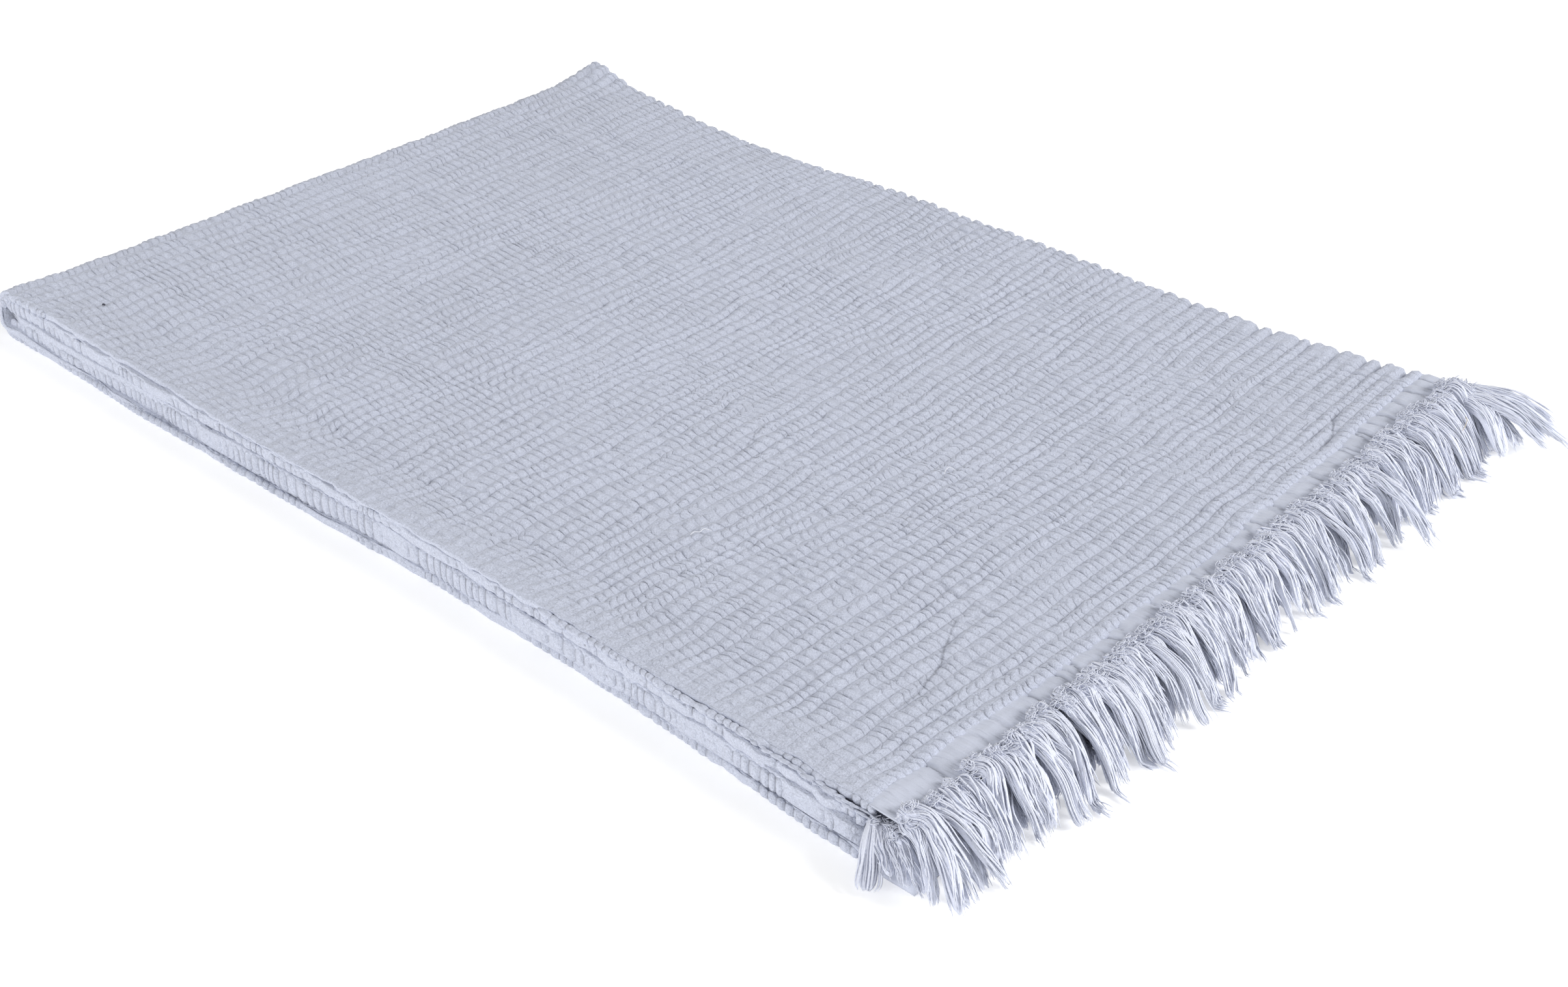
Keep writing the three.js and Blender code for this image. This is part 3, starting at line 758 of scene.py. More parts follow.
    def _crinkle(
        self, line: dict[str, np.ndarray], rib: np.ndarray, x: np.ndarray, y: np.ndarray, over: np.ndarray
    ) -> tuple[np.ndarray, np.ndarray, np.ndarray]:
        """Works out the crinkle: rib valleys and fine creases sink, and each cell rises or sinks a little.

        By the lengthwise fold the ribs end in fingers, with deeper valleys and shoulders; but some
        valleys fade there, so that two fingers merge.

        Args:
            line: the lines of the section.
            rib: rib number of each column.
            x: distance of each column from the crosswise fold.
            y: distance of each point from the selvedges.
            over: whether each column lies before the end of the crosswise fold.

        Returns:
            The height of the crinkle, and how deep ribs and creases are, for the finish.
        """
        sizes, lobe = self.sizes, line["lobe"]
        ribs, lobes = self._depths(rib, lobe, x, y)
        number = self._crease_number(rib, lobe)
        valley = rib - np.floor(rib) < self.IN_VALLEY
        on_crease = (np.abs(number - np.round(number)) < 0.1) & ~valley
        fingers = ease((x - 600) / 250) * ease((line["across"] - 0.962) / 0.025)
        bend = ease((line["across"] - 0.985) / 0.015)
        merged = (np.round(rib) * GOLDEN % 1 < 0.38) * np.maximum(fingers, 0.5 * bend)
        rib_dip = sizes.rib_depth * ribs * valley
        rib_dip = rib_dip * (1 + sizes.finger_depth * fingers + 0.5 * bend) * (1 - 0.8 * merged)
        rib_dip = rib_dip + 0.3 * sizes.rib_depth * fingers * ~valley * (1 - merged)
        lobe_dip = sizes.lobe_depth * lobes * on_crease * (1 - 0.7 * fingers)
        puff = sizes.cell_rise * self.noise[9].at(rib * 1.7, lobe * 1.35)
        shown = (line["outside"] > 0) * np.where(over, 1.0, sizes.underside_share)
        lip = (line["outside"] < 1) & (line["inner"] < 1) & (line["part"] > 0.9)
        shown = np.where(lip & (line["past"] > sizes.groove + 0.1), sizes.lip_share, shown)
        relief = -shown * (rib_dip + lobe_dip - puff)
        return relief, ribs * shown * (1 - 0.7 * merged), lobes * shown * (1 - 0.5 * fingers)

    def surface(self) -> tuple[np.ndarray, np.ndarray]:
        """Lays every point of the cloth.

        A column's distance along the cloth places it on the upper run, round the crosswise fold or on
        the lower run. Its height is the line's level less the depth of the nearest rib valley and fine
        crease. Lines and columns both wander, so neither ribs nor creases are straight.

        Returns:
            The grid of points, and six marks for each: rib number, crease number, how deep ribs and
            creases are, distance to the nearest main crease and its depth, -1 on the underside.
        """
        stack, sizes, n = self.stack, self.sizes, self.noise
        line = self.lines()
        rib, distance = (a[None, :] for a in self.columns())
        lobe, run, turn = line["lobe"], stack.run, stack.turn
        turned = np.clip((distance - run) / turn, 0, 1)
        turning = (turned > 0) & (turned < 1)
        low = (1 - np.cos(turned * math.pi)) / 2
        beyond = np.maximum(run - distance, distance - run - turn)
        x0 = np.where(turning, 0.0, beyond + stack.fold_radius)
        y = self._across(line, rib, x0, low)
        share = np.clip(np.minimum(distance, 2 * run + turn - distance) / run, 0, 1)
        calm = np.sqrt(np.clip(np.sin(share * math.pi), 0, 1)) * (1 - turned * (1 - turned) * 4 * turning)
        wander = 3 * np.sin(y / 96 + share * 19) + 1.4 * np.sin(y / 41 + share * 37)
        wander = wander + 1.6 * n[7].at(rib / 2.3, lobe / 5) + 1.05 * n[8].at(rib * 0.9, lobe / 1.3)
        hollow = sizes.hollow * (line["inner"] > 0) * (line["part"] < 0.5)
        level = mix(*self._levels(line, x0), low) + hollow * np.sin(turned * math.pi)
        relief, ribs, creases = self._crinkle(line, rib, x0, y, distance < run + turn)
        lean = np.where(np.isnan(line["angle"]), 1.0, np.sin(np.radians(np.nan_to_num(line["angle"]))))
        out = level + relief * lean
        y = y + relief * np.sqrt(1 - lean**2)
        fold_x = stack.CROSS_FOLD.at(y) + stack.fold_radius
        fold_x = fold_x + 0.9 * n[10].at(y / 17, 9.5) + 0.6 * n[11].at(y / 7, 4.5)
        angle = turned * math.pi
        ends = {k: stack.cloth_end(k, y) for k in Layer}
        ends[Layer.FIRST] = ends[Layer.FIRST] + stack.HEADING_COVER.at(y) + 2.2 * n[7].at(y / 31, 0.5)
        is_lower = distance > run + turn / 2
        end = np.where(
            is_lower,
            mix(ends[Layer.FOURTH], ends[Layer.THIRD], line["inner"]),
            mix(ends[Layer.FIRST], ends[Layer.SECOND], line["inner"]),
        )
        tucked = sizes.tucked * bell(y, 55) * np.sin(angle) * ease((turned - 0.3) / 0.4)
        straight = mix(end, fold_x, share) + wander * calm
        x = np.where(turning, fold_x - out * np.sin(angle) + tucked, straight)
        z = stack.HEART + np.where(turning, out * np.cos(angle), np.where(is_lower, -out, out))
        on_top = (line["outside"] > 0) * (distance < run)
        away, main = self._main_creases(x, y)
        dips = sizes.main_depth * main * bell(away, sizes.main_width)
        droop = sizes.end_droop * (1 - ease(distance / 4)) * (line["inner"] < 1) * (line["part"] > 0.4)
        z = stack.settle(x, y, z - (dips + droop) * on_top)
        z = z + sizes.lifted * bell(y, 45) * bell(x, 24) * (1 - z / stack.height)
        beneath = (line["outside"] > 0) * (distance > run + turn)
        number = self._crease_number(rib, lobe)
        marks = np.broadcast_arrays(rib, number, ribs, creases, away, main * on_top - beneath)
        return np.stack([x, y, np.maximum(z, 0.0)], -1), np.stack(marks, -1)

    def _main_creases(self, x: np.ndarray, y: np.ndarray) -> tuple[np.ndarray, np.ndarray]:
        """Finds the nearest main crease of each place.

        Args:
            x: distance from the crosswise fold.
            y: distance from the open selvedges.

        Returns:
            The distance to it and its share of the full depth there.
        """
        reaches = np.array([crease.reach(x, y) for crease in self.MAIN_CREASES])
        nearest = np.abs(reaches[:, 0]).argmin(0)[None]
        away, main = (np.take_along_axis(reaches[:, k], nearest, 0)[0] for k in (0, 1))
        return away, main

    def _crease_number(self, rib: np.ndarray, lobe: np.ndarray) -> np.ndarray:
        """Numbers the fine creases of each rib, from the selvedge on.

        A rib has a crease on every third line, now and then one line sooner or later. Which lines
        they are is each rib's own, and over half of a rib they may lie one line on, so that the
        lobes are staggered from rib to rib and some lean.

        Args:
            rib: rib number.
            lobe: lobe number.

        Returns:
            A number that is whole on each crease and grows evenly from one to the next.
        """
        steps = len(self.sizes.lobe_shares)
        whole = np.floor(lobe + 0.01)
        line = whole * steps + np.round((lobe - whole) * steps)
        own, across = np.floor(rib), rib - np.floor(rib)
        start = 2.4 * self.noise[5].at(own * 0.21 + 0.4, line / 25)
        start = start + 0.6 * self.noise[6].at(own * 0.9, line / 12)
        lean = np.round(0.9 * self.noise[4].at(own / 6, line / 21)) * (across > 0.5)
        return (line + np.floor(start) + lean) / steps

    def _ruffle(self, layer: Layer, x: np.ndarray) -> np.ndarray:
        """Finds how far one layer's selvedge wavers: noise, scallops and, on the second layer, loops.

        Args:
            layer: the layer.
            x: distance from the crosswise fold.

        Returns:
            How far it lies back from its curve at each place.
        """
        k = layer.value * 7.3
        loops = self.LOOPS.at(x) * (layer is Layer.SECOND)
        waver = 1.1 * self.noise[10].at(x / 24, k) + 0.6 * self.noise[11].at(x / 9, k + 0.5)
        deep = 1.5 if layer is Layer.FOURTH else 0.9
        scallop = deep * np.abs(np.sin(x / 6.2 + 2 * self.noise[8].at(x / 60, k)))
        return waver - scallop + loops * (0.7 * self.noise[9].at(x / 6.5, k) - 0.5)

    def build(self, lay: LayFrame, material: bpy.types.Material) -> bpy.types.Object:
        """Builds the cloth's mesh.

        Args:
            lay: where the lay-out lies in the frame.
            material: the muslin's finish.

        Returns:
            The piece, which stands for the cloth's solid.
        """
        points, marks = self.surface()
        skin = Surface()
        skin.add(points.reshape(-1, 3), closed_grid(points), marks.reshape(-1, marks.shape[-1]))
        return skin.build("muslin_cloth", lay, material)


@dataclass(frozen=True)
class HeadingSizes:
    """Sizes of the plain strips at the cloth's ends, in millimetres."""

    tuck: float = 5.0
    step: float = 1.7
    columns: int = 9
    roll: float = 6.5
    wrinkle_depth: float = 2.0
    wrinkle_width: float = 1.7
    ripple: float = 0.7
    pressed: float = 1.6
    drawn_in: float = 12.0
    sag: float = 2.0


class HeadingStrip:
    """The plain close-woven strip of one fringed end: a thin hairpin through two layers."""

    # How many tucks there are past the first, which lies by the front corner.
    TUCKS = 45
    FIRST_TUCK = 54.0
    BEND_ANGLES = (60, 20, -20, -60)
    # How far from the front edge the lower end's corner is drawn in and rolled.
    CORNER = 30

    def __init__(
        self, stack: FoldedStack, sizes: HeadingSizes, outer: Layer, inner: Layer, seed: int
    ) -> None:
        """Keeps what the strip follows.

        Args:
            stack: how the blanket lies.
            sizes: the strip's own sizes.
            outer: the outer of the two layers that it passes through.
            inner: the inner one.
            seed: picks its tucks and its unevenness.
        """
        self.stack, self.sizes, self.outer, self.inner = stack, sizes, outer, inner
        self.noise = Noise(seed)
        self.seed = seed

    @property
    def is_lower(self) -> bool:
        """Returns whether this is the lower end's strip."""
        return self.outer is Layer.FOURTH

    @property
    def fronts(self) -> list[np.ndarray]:
        """Returns where the two layers' selvedges lie at the fringe, the outer one's first."""
        return [self.stack.SELVEDGES[layer].at(self.stack.length) for layer in (self.outer, self.inner)]

    def wrinkles(self, back: np.ndarray, y: np.ndarray) -> np.ndarray:
        """Finds how deep the thin cross tucks are, which are bent lines, unevenly spaced.

        Args:
            back: distance from the strip's fringed edge, below zero.
            y: distance from the open selvedges.

        Returns:
            The share of the full depth at each place.
        """
        rng = np.random.default_rng(self.seed)
        places = np.concatenate([[self.FIRST_TUCK], 70 + np.cumsum(rng.uniform(6, 24, self.TUCKS))])
        depths = np.concatenate([[1.0], rng.uniform(0.2, 1.0, self.TUCKS)])
        bends = rng.uniform(-6, 6, self.TUCKS + 1)
        across = back / self.stack.heading_width + 0.5
        dip = np.zeros_like(y)
        for place, depth, bend in zip(places, depths, bends):
            line = place + bend * across + 1.2 * np.sin(5 * across + place)
            dip = np.maximum(dip, depth * bell(y - line, self.sizes.wrinkle_width))
        return dip

    def _section(self, count: int) -> tuple[np.ndarray, np.ndarray]:
        """Lays the hairpin section: along the outer layer, round the bend and back along the inner one.

        The bend is a half ellipse between the two layers' levels. The outside of the hairpin comes
        first, and then its inside, back to the start.

        Args:
            count: how many points each straight run has.

        Returns:
            y and z of each of its points, one a row.
        """
        stack, fronts = self.stack, self.fronts
        outer, inner = (stack.LEVELS[layer].heading for layer in (self.outer, self.inner))
        slip = stack.lower_fold_in if self.is_lower else 0
        fold = stack.LONG_FOLD.at(stack.length) - stack.bend_reach - slip
        run = np.linspace(0, 1, count)
        angles = np.radians(self.BEND_ANGLES)
        sign = 1 if outer > inner else -1
        half = stack.heading_thickness / 2
        middle, swing = (outer + inner) / 2, abs(outer - inner) / 2
        ys, zs = [], []
        for side in (1, -1):
            reach = stack.bend_reach - (0 if side > 0 else stack.heading_thickness)
            y = [mix(fronts[0], fold, run), fold + reach * np.cos(angles), mix(fronts[1], fold, run)[::-1]]
            off = side * sign * half
            bend = middle + sign * (swing + side * half) * np.sin(angles)
            z = [np.full(count, outer + off), bend, np.full(count, inner - off)]
            ys.append(np.concatenate(y))
            zs.append(np.concatenate(z))
        return tuple(np.concatenate([face[0], face[1][::-1]])[:, None] for face in (ys, zs))

    def surface(self) -> tuple[np.ndarray, np.ndarray]:
        """Lays the strip's points: a hairpin section, from front to back and front again, along x.

        The strip ripples, sinks at its tucks and lies pressed down under the cloth's last rib. The
        lower end's front corner is drawn in and rolled.

        Returns:
            The grid of points, and one mark for each: how deep the tuck is there.
        """
        stack, sizes = self.stack, self.sizes
        count = round(stack.width / sizes.step)
        y, z = self._section(count)
        turn = len(self.BEND_ANGLES) // 2
        inner = np.concatenate([[0] * (count + turn), [1] * (count + turn)])
        inner = np.concatenate([inner, inner[::-1]])[:, None]
        edge = mix(stack.heading_edge(self.outer, y), stack.heading_edge(self.inner, y), inner)
        back = np.linspace(-stack.heading_width - sizes.tuck, 0, sizes.columns)[None, :]
        wave = 0.8 * self.noise.at(y / 26, inner * 5) + 0.5 * self.noise.at(y / 9, 3 + inner * 5)
        x = edge + back + wave * (back > -4)
        y = y + np.zeros_like(x)
        tucks = self.wrinkles(back, y)
        ripple = sizes.ripple * self.noise.at(y / 31, back / 30 + inner * 9)
        z = z + ripple - tucks * sizes.wrinkle_depth
        cover = stack.HEADING_COVER.at(y) * (not self.is_lower)
        z = z - sizes.pressed * ease((cover + 2 - back - stack.heading_width) / 4) * (1 - inner)
        if self.is_lower:
            front = mix(*self.fronts, inner)
            near_front = np.clip(1 - (y - front) / self.CORNER, 0, 1)
            half = 2 * (count + turn)
            facing = np.concatenate([np.zeros(half), np.ones(half)])[:, None]
            swell = sizes.roll * np.sqrt(near_front * np.clip((y - front + 0.2) / 5, 0, 1)) * facing
            z = z + mix(1, -1, inner) * swell - inner * near_front * sizes.sag
            x = x + sizes.drawn_in * inner * near_front
        return np.stack([x, y, np.maximum(stack.settle(x, y, z), 0.0)], -1), tucks

    def build(self, name: str, lay: LayFrame, material: bpy.types.Material) -> bpy.types.Object:
        """Builds the strip's mesh.

        Args:
            name: the piece's name.
            lay: where the lay-out lies in the frame.
            material: the heading's finish.

        Returns:
            The piece.
        """
        points, tucks = self.surface()
        skin = Surface()
        skin.add(points.reshape(-1, 3), closed_grid(points), tucks.reshape(-1, 1))
        return skin.build(name, lay, material)


class Strands:
    """Turns many bent lines into thin closed tubes at once."""

    # A direction that no strand runs along.
    NEARLY_UP = np.array([0.05, 0.02, 1.0])

    def __init__(self, sides: int) -> None:
        """Keeps how many sides each tube has."""
        self.sides = sides

    def add(self, skin: Surface, paths: np.ndarray, radii: np.ndarray) -> None:
        """Adds a tube along each line.

        Args:
            skin: where the tubes go.
            paths: lines of points: strand, place along it, then x, y and z.
            radii: half widths, for each strand and place along it.
        """
        ahead = unit(np.gradient(paths, axis=1))
        side = unit(np.cross(ahead, self.NEARLY_UP))
        up = np.cross(side, ahead)
        turn = 2 * math.pi * np.arange(self.sides) / self.sides + math.pi / 6
        ring = side[:, :, None] * np.cos(turn)[:, None] + up[:, :, None] * np.sin(turn)[:, None]
        self.weld(skin, paths[:, :, None] + ring * radii[:, :, None, None], 0)

    @staticmethod
    def weld(skin: Surface, rings: np.ndarray, seed: int) -> None:
        """Joins rings of points into closed bodies.

        Args:
            skin: where the bodies go.
            rings: points: body, ring along it, place round it, then x, y and z.
            seed: number of the first body.
        """
        count, steps, sides = rings.shape[:3]
        number = np.arange(count * steps * sides).reshape(count, steps, sides)
        beside = np.roll(number, -1, axis=2)
        walls = np.stack([number[:, :-1], beside[:, :-1], beside[:, 1:], number[:, 1:]], -1)
        full = np.ones((count, steps, sides))
        lengths = np.linspace(0, 1, steps)[None, :, None] * full
        which = ((np.arange(count) + seed) * GOLDEN % 1)[:, None, None] * full
        around = np.abs(np.linspace(-1, 1, sides, endpoint=False))[None, None, :] * full
        marks = np.stack([lengths, which, around, full], -1).reshape(-1, 4)
        faces = [walls.reshape(-1, 4)[:, ::-1], number[:, 0], number[:, -1, ::-1]]
        first, wall = rings[0].reshape(-1, 3), walls[0].reshape(-1, 4)
        triangles = np.concatenate([wall[:, [0, 1, 2]], wall[:, [0, 2, 3]]])
        if signed_volume(first - first.mean(0), triangles) > 0:
            faces = [face[:, ::-1] for face in faces]
        skin.add(rings.reshape(-1, 3), faces, marks)


@dataclass(frozen=True)
class Bunch:
    """Sizes of a bunch of yarn, in millimetres, and how many strands show on it."""

    half_width: float
    half_height: float
    yarns: int
    curls: int = 0
    tufts: int = 3
    blunt: bool = False
    taper: float = 0.46
    yarn_radius: float = 0.55
    steps: int = 21

    def widths(self, t: np.ndarray) -> np.ndarray:
        """Finds how wide the bunch is along it: slimmer by the middle, then to a tip, or blunt.

        Args:
            t: places along the bunch, from 0 to 1.

        Returns:
            Its share of its full width there.
        """
        if self.blunt:
            end = np.clip(1 - (np.clip(t - 0.84, 0, 1) / 0.162) ** 2, 0.02, 1)
            return (0.62 + 0.38 * ease(t / 0.55)) * np.sqrt(end)
        return 0.8 + 0.3 * ease(t / 0.16) - self.taper * ease(t * 2.2) - 0.1 * ease((t - 0.6) / 0.4)


@dataclass(frozen=True)
class Fall:
    """How one layer's bunches fall: distances from the heading, in millimetres."""

    level: float
    lands: float
    tip: float
    longer: float
    sweep: float


@dataclass(frozen=True)
class Guide:
    """Bunches' middle lines with the directions and half sizes at each of their points."""

    centres: np.ndarray
    side: np.ndarray
    up: np.ndarray
    wide: np.ndarray
    high: np.ndarray

    # The lowest that a yarn's middle line lies above the floor, in millimetres.
    LOWEST = 0.95

    @classmethod
    def of(cls, centres: np.ndarray, bunch: Bunch, grow: np.ndarray) -> "Guide":
        """Works out the directions and half sizes along the middle lines of bunches.

        Args:
            centres: points: bunch, place along it, then x, y and z.
            bunch: the bunches' sizes.
            grow: how much wider than that each bunch is.

        Returns:
            The guide.
        """
        t = np.linspace(0, 1, centres.shape[1])
        ahead = unit(np.gradient(centres, axis=1))
        side = unit(np.cross(ahead, np.array([0.0, 0.0, 1.0])), least=0.05)
        wide = bunch.half_width * bunch.widths(t)[None, :] * grow[:, None]
        high = bunch.half_height * (1 - 0.45 * ease(t))[None, :] * np.sqrt(grow)[:, None]
        return cls(centres, side, np.cross(side, ahead), wide, high)

    def read(self, values: np.ndarray, spot: np.ndarray) -> np.ndarray:
        """Reads one of the guide's arrays between its points.

        Args:
            values: the array, with the bunch first and the place along it next.
            spot: places along the bunches, from 0 to 1: bunch, strand, place along the strand.

        Returns:
            The values there.
        """
        last = values.shape[1] - 1
        place = np.clip(spot, 0, 1) * last
        i = np.minimum(place.astype(int), last - 1)
        f = place - i
        b = np.arange(len(values))[:, None, None]
        if values.ndim == 3:
            f = f[..., None]
        return mix(values[b, i], values[b, i + 1], f)

    def path(self, spot: np.ndarray, aside: np.ndarray, lift: np.ndarray) -> np.ndarray:
        """Lays points beside and above the middle lines, none nearer to the floor than a yarn.

        Args:
            spot: places along the bunches, from 0 to 1: bunch, strand, place along the strand.
            aside: how far beside its middle line each point lies.
            lift: how far above it each point lies.

        Returns:
            The points.
        """
        points = self.read(self.centres, spot)
        points = points + self.read(self.side, spot) * aside[..., None]
        points = points + self.read(self.up, spot) * lift[..., None]
        points[..., 2] = np.maximum(points[..., 2], self.LOWEST)
        return points


class YarnFringe:
    """Bunches of loose yarn along one layer's heading."""

    FALLS = {
        Layer.FIRST: Fall(8, 48, 56, 10, -9),
        Layer.SECOND: Fall(5, 40, 48, 5, -15),
        Layer.THIRD: Fall(3, 28, 36, 4, -18),
        Layer.FOURTH: Fall(0, 8, 27, 3, -18),
    }
    BUNCHES = {
        Layer.FIRST: Bunch(5.8, 3.8, 26, 8, tufts=3, yarn_radius=0.68, steps=26),
        Layer.SECOND: Bunch(5.4, 3.0, 14, 2, tufts=2, yarn_radius=0.62, steps=17),
        Layer.THIRD: Bunch(5.2, 2.6, 9, tufts=2, yarn_radius=0.62, steps=15),
        Layer.FOURTH: Bunch(5.0, 2.0, 9, tufts=2, yarn_radius=0.62, steps=15),
    }
    # The two lower layers' fringe starts this far from the front, behind the rounded corner.
    STARTS = {Layer.FIRST: 3.0, Layer.SECOND: 10.0, Layer.THIRD: 34.0, Layer.FOURTH: 48.0}
    PITCH = 9.6
    STEPS = 25
    # More groups of bunches than any heading needs.
    GROUPS = 60
    CORE_SIDES = 10
    CORE_STEPS = 15
    CORE_LOWEST = 0.3
    CURL_STEPS = 15
    CURL_RADIUS = 0.36

    def __init__(self, stack: FoldedStack, layer: Layer) -> None:
        """Keeps what the fringe follows.

        Args:
            stack: how the blanket lies.
            layer: the layer whose heading the yarn leaves.
        """
        self.stack, self.layer = stack, layer
        self.fall = self.FALLS[layer]
        self.rng = np.random.default_rng(40 + layer.value)
        self.noise = Noise(60 + layer.value)
        self.laid = 0

    def places(self) -> tuple[np.ndarray, np.ndarray]:
        """Finds where along the heading the bunches start.

        Returns:
            Each bunch's place and how wide it is, as a share.
        """
        stack = self.stack
        front = stack.SELVEDGES[self.layer].at(stack.length) + self.STARTS[self.layer]
        back = stack.LONG_FOLD.at(stack.length) - stack.bend_reach + 1
        count = round((back - front) / self.PITCH)
        grow = self.rng.uniform(0.6, 1.5, count)
        ends = np.cumsum(grow)
        places = front + (ends - grow / 2) / ends[-1] * (back - front)
        return places, grow

    def groups(self, y: np.ndarray) -> tuple[np.ndarray, np.ndarray]:
        """Gathers neighbouring bunches into groups, whose tips are drawn together.

        Args:
            y: where each bunch starts.

        Returns:
            Each bunch's group, and how far its tip is drawn to the group's middle.
        """
        middles = y[0] - 12 + np.cumsum(self.rng.uniform(15, 42, self.GROUPS))
        group = np.abs(y[:, None] - middles).argmin(1)
        return group, (middles[group] - y) * self.rng.uniform(0.3, 0.85, len(y))

    def centres(self, y: np.ndarray) -> np.ndarray:
        """Lays the middle line of each bunch: out from the heading, down in an arc and along the floor.

        Args:
            y: where each bunch starts.

        Returns:
            Points: bunch, place along it, then x, y and z.
        """
        stack, fall, rng = self.stack, self.fall, self.rng
        count = len(y)
        level = stack.LEVELS[self.layer].heading
        lead = stack.heading_edge(Layer.FOURTH, y) - stack.length
        lowest = self.layer is Layer.FOURTH
        slip = np.zeros(count) if lowest else np.maximum(0, lead + 3 - fall.level)
        tip = fall.tip - lead * 0.6 if lowest else fall.tip + slip * 0.3
        group, gather = self.groups(y)
        own, shared = rng.uniform(-1, 1, count), rng.uniform(-1, 1, self.GROUPS)[group]
        tip = tip + fall.longer * (0.6 * own + 0.9 * shared)
        lands = np.minimum(fall.lands + slip * 0.3 + rng.uniform(-4, 4, count), tip - 5)
        along = np.linspace(0, 1, self.STEPS)
        out = mix(-rng.uniform(0, 8.0, count)[:, None], tip[:, None], along[None, :])
        drop = np.clip((out - fall.level) / (lands - fall.level)[:, None], 0, 1)
        lift = rng.uniform(-0.4, 4.4, count)[:, None] * bell(out - 8, 8.0)
        z = level * (1 - drop ** rng.uniform(1.5, 2.7, count)[:, None]) + lift + 1.2
        sweep = fall.sweep * mix(1, -0.1, ease((y - 400) / 240)) + rng.uniform(-4, 4, count)
        sweep = sweep + 6 * self.noise.at(y / 45, 7.5) + 4 * self.noise.at(y / 15, 9.5) + gather
        aside = sweep[:, None] * np.clip(out / tip[:, None], 0, 1) ** 1.6
        aside = aside + 2.6 * self.noise.at(y[:, None] / 7, along * 3.2)
        x = stack.heading_edge(self.layer, y)[:, None] + out
        line_y = y[:, None] + aside
        return np.stack([x, line_y, stack.settle(x, line_y, z)], -1)

    def lay(self, skin: Surface, centres: np.ndarray, bunch: Bunch, grow: np.ndarray) -> None:
        """Adds bunches of one kind along their middle lines: core, yarns round it, curls at the root.

        Args:
            skin: where the bunches go.
            centres: their middle lines.
            bunch: their sizes.
            grow: how much wider than that each one is.
        """
        guide = Guide.of(centres, bunch, grow)
        self._core(skin, guide, bunch)
        self._yarns(skin, guide, bunch)
        if bunch.curls:
            self._curls(skin, guide, bunch)
        self.laid += len(centres)

    def _core(self, skin: Surface, guide: Guide, bunch: Bunch) -> None:
        """Adds the bunches' cores: flattened bodies with long ridges, seen only between the yarns.

        Args:
            skin: where the cores go.
            guide: the bunches' middle lines.
            bunch: their sizes.
        """
        sides, steps = self.CORE_SIDES, self.CORE_STEPS
        t = np.linspace(0, 0.97 if bunch.blunt else 0.84, steps)
        spot = np.broadcast_to(t, (len(guide.wide), 1, steps))
        turn = np.linspace(0, 2 * math.pi, sides, endpoint=False)
        number = (np.arange(len(guide.wide)) + self.laid)[:, None, None]
        ridges = 1 + 0.16 * self.noise.at(turn * 2.1 + number * 5.3, t[None, :, None] * 2)
        ridges = ridges * np.sqrt(np.clip(1.02 - (t / t[-1]) ** 5, 0.02, 1))[None, :, None] * 0.9
        aside = guide.read(guide.wide, spot)[:, 0, :, None] * np.cos(turn) * ridges
        lift = guide.read(guide.high, spot)[:, 0, :, None] * np.sin(turn) * ridges
        body = guide.read(guide.centres, spot)[:, 0, :, None]
        body = body + guide.read(guide.side, spot)[:, 0, :, None] * aside[..., None]
        body = body + guide.read(guide.up, spot)[:, 0, :, None] * lift[..., None]
        body[..., 2] = np.maximum(body[..., 2], self.CORE_LOWEST)
        Strands.weld(skin, body, seed=self.laid)

    def _yarns(self, skin: Surface, guide: Guide, bunch: Bunch) -> None:
        """Lays yarns round the cores.

        A yarn leaves the root at its own angle round the core. From a third of its length on it draws
        in to its tuft, of which a bunch has a few, each with its own length and place, so that the
        bunch ends in ragged points. All along it waves, more at the root, and a few yarns stand off.

        Args:
            skin: where the yarns go.
            guide: the bunches' middle lines.
            bunch: their sizes.
        """
        rng = self.rng
        shape = (len(guide.wide), bunch.yarns, 1)
        t = np.linspace(0, 1, bunch.steps)[None, None, :]
        angle = np.linspace(-0.3, math.pi + 0.3, bunch.yarns)[None, :, None]
        angle = angle + rng.uniform(-0.25, 0.25, shape)
        across = np.clip((1 - np.cos(angle)) / 2, 0, 0.999)
        tuft = np.floor(across * bunch.tufts).astype(int)
        owner = np.arange(shape[0])[:, None, None]
        tuft_length = rng.uniform(0.78, 1.0, (shape[0], bunch.tufts))[owner, tuft]
        tuft_aside = rng.uniform(-0.4, 0.4, (shape[0], bunch.tufts))[owner, tuft]
        tuft_aside = tuft_aside + 1 - 2 * (tuft + 0.5) / bunch.tufts
        length = 0.98 if bunch.blunt else tuft_length * rng.uniform(0.8, 1.0, shape)
        spot = t * length
        shared = rng.uniform(0, 2 * math.pi, (2, shape[0], bunch.tufts))[:, owner, tuft]
        phase, other = shared + rng.uniform(-0.9, 0.9, (2, *shape))
        pace = rng.uniform(1.1, 3.2, (shape[0], bunch.tufts))[owner, tuft] + rng.uniform(-0.4, 0.4, shape)
        twist = (0.0 if bunch.blunt else 1.0) * rng.uniform(-1.1, 1.1, (shape[0], 1, 1)) * t
        draw = 0.0 if bunch.blunt else 0.8 * ease((t - 0.3) / 0.6)
        stand = (rng.uniform(0, 1, shape) > 0.8) * rng.uniform(0.5, 6.0, shape) * t**1.5
        wide, high = guide.read(guide.wide, spot), guide.read(guide.high, spot)
        wave = (0.75 + 0.9 * np.exp(-((t / 0.2) ** 2))) * (0.15 if bunch.blunt else 1.0)
        aside = wide * mix(np.cos(angle + twist), tuft_aside, draw)
        aside = aside + wave * np.sin(2 * math.pi * pace * t + phase) + stand * np.cos(other)
        lift = high * np.sin(angle + twist) * mix(1, 0.75, draw) + 0.3
        lift = lift + wave * 0.8 * np.cos(2 * math.pi * pace * t * 0.93 + other) + stand * 0.6
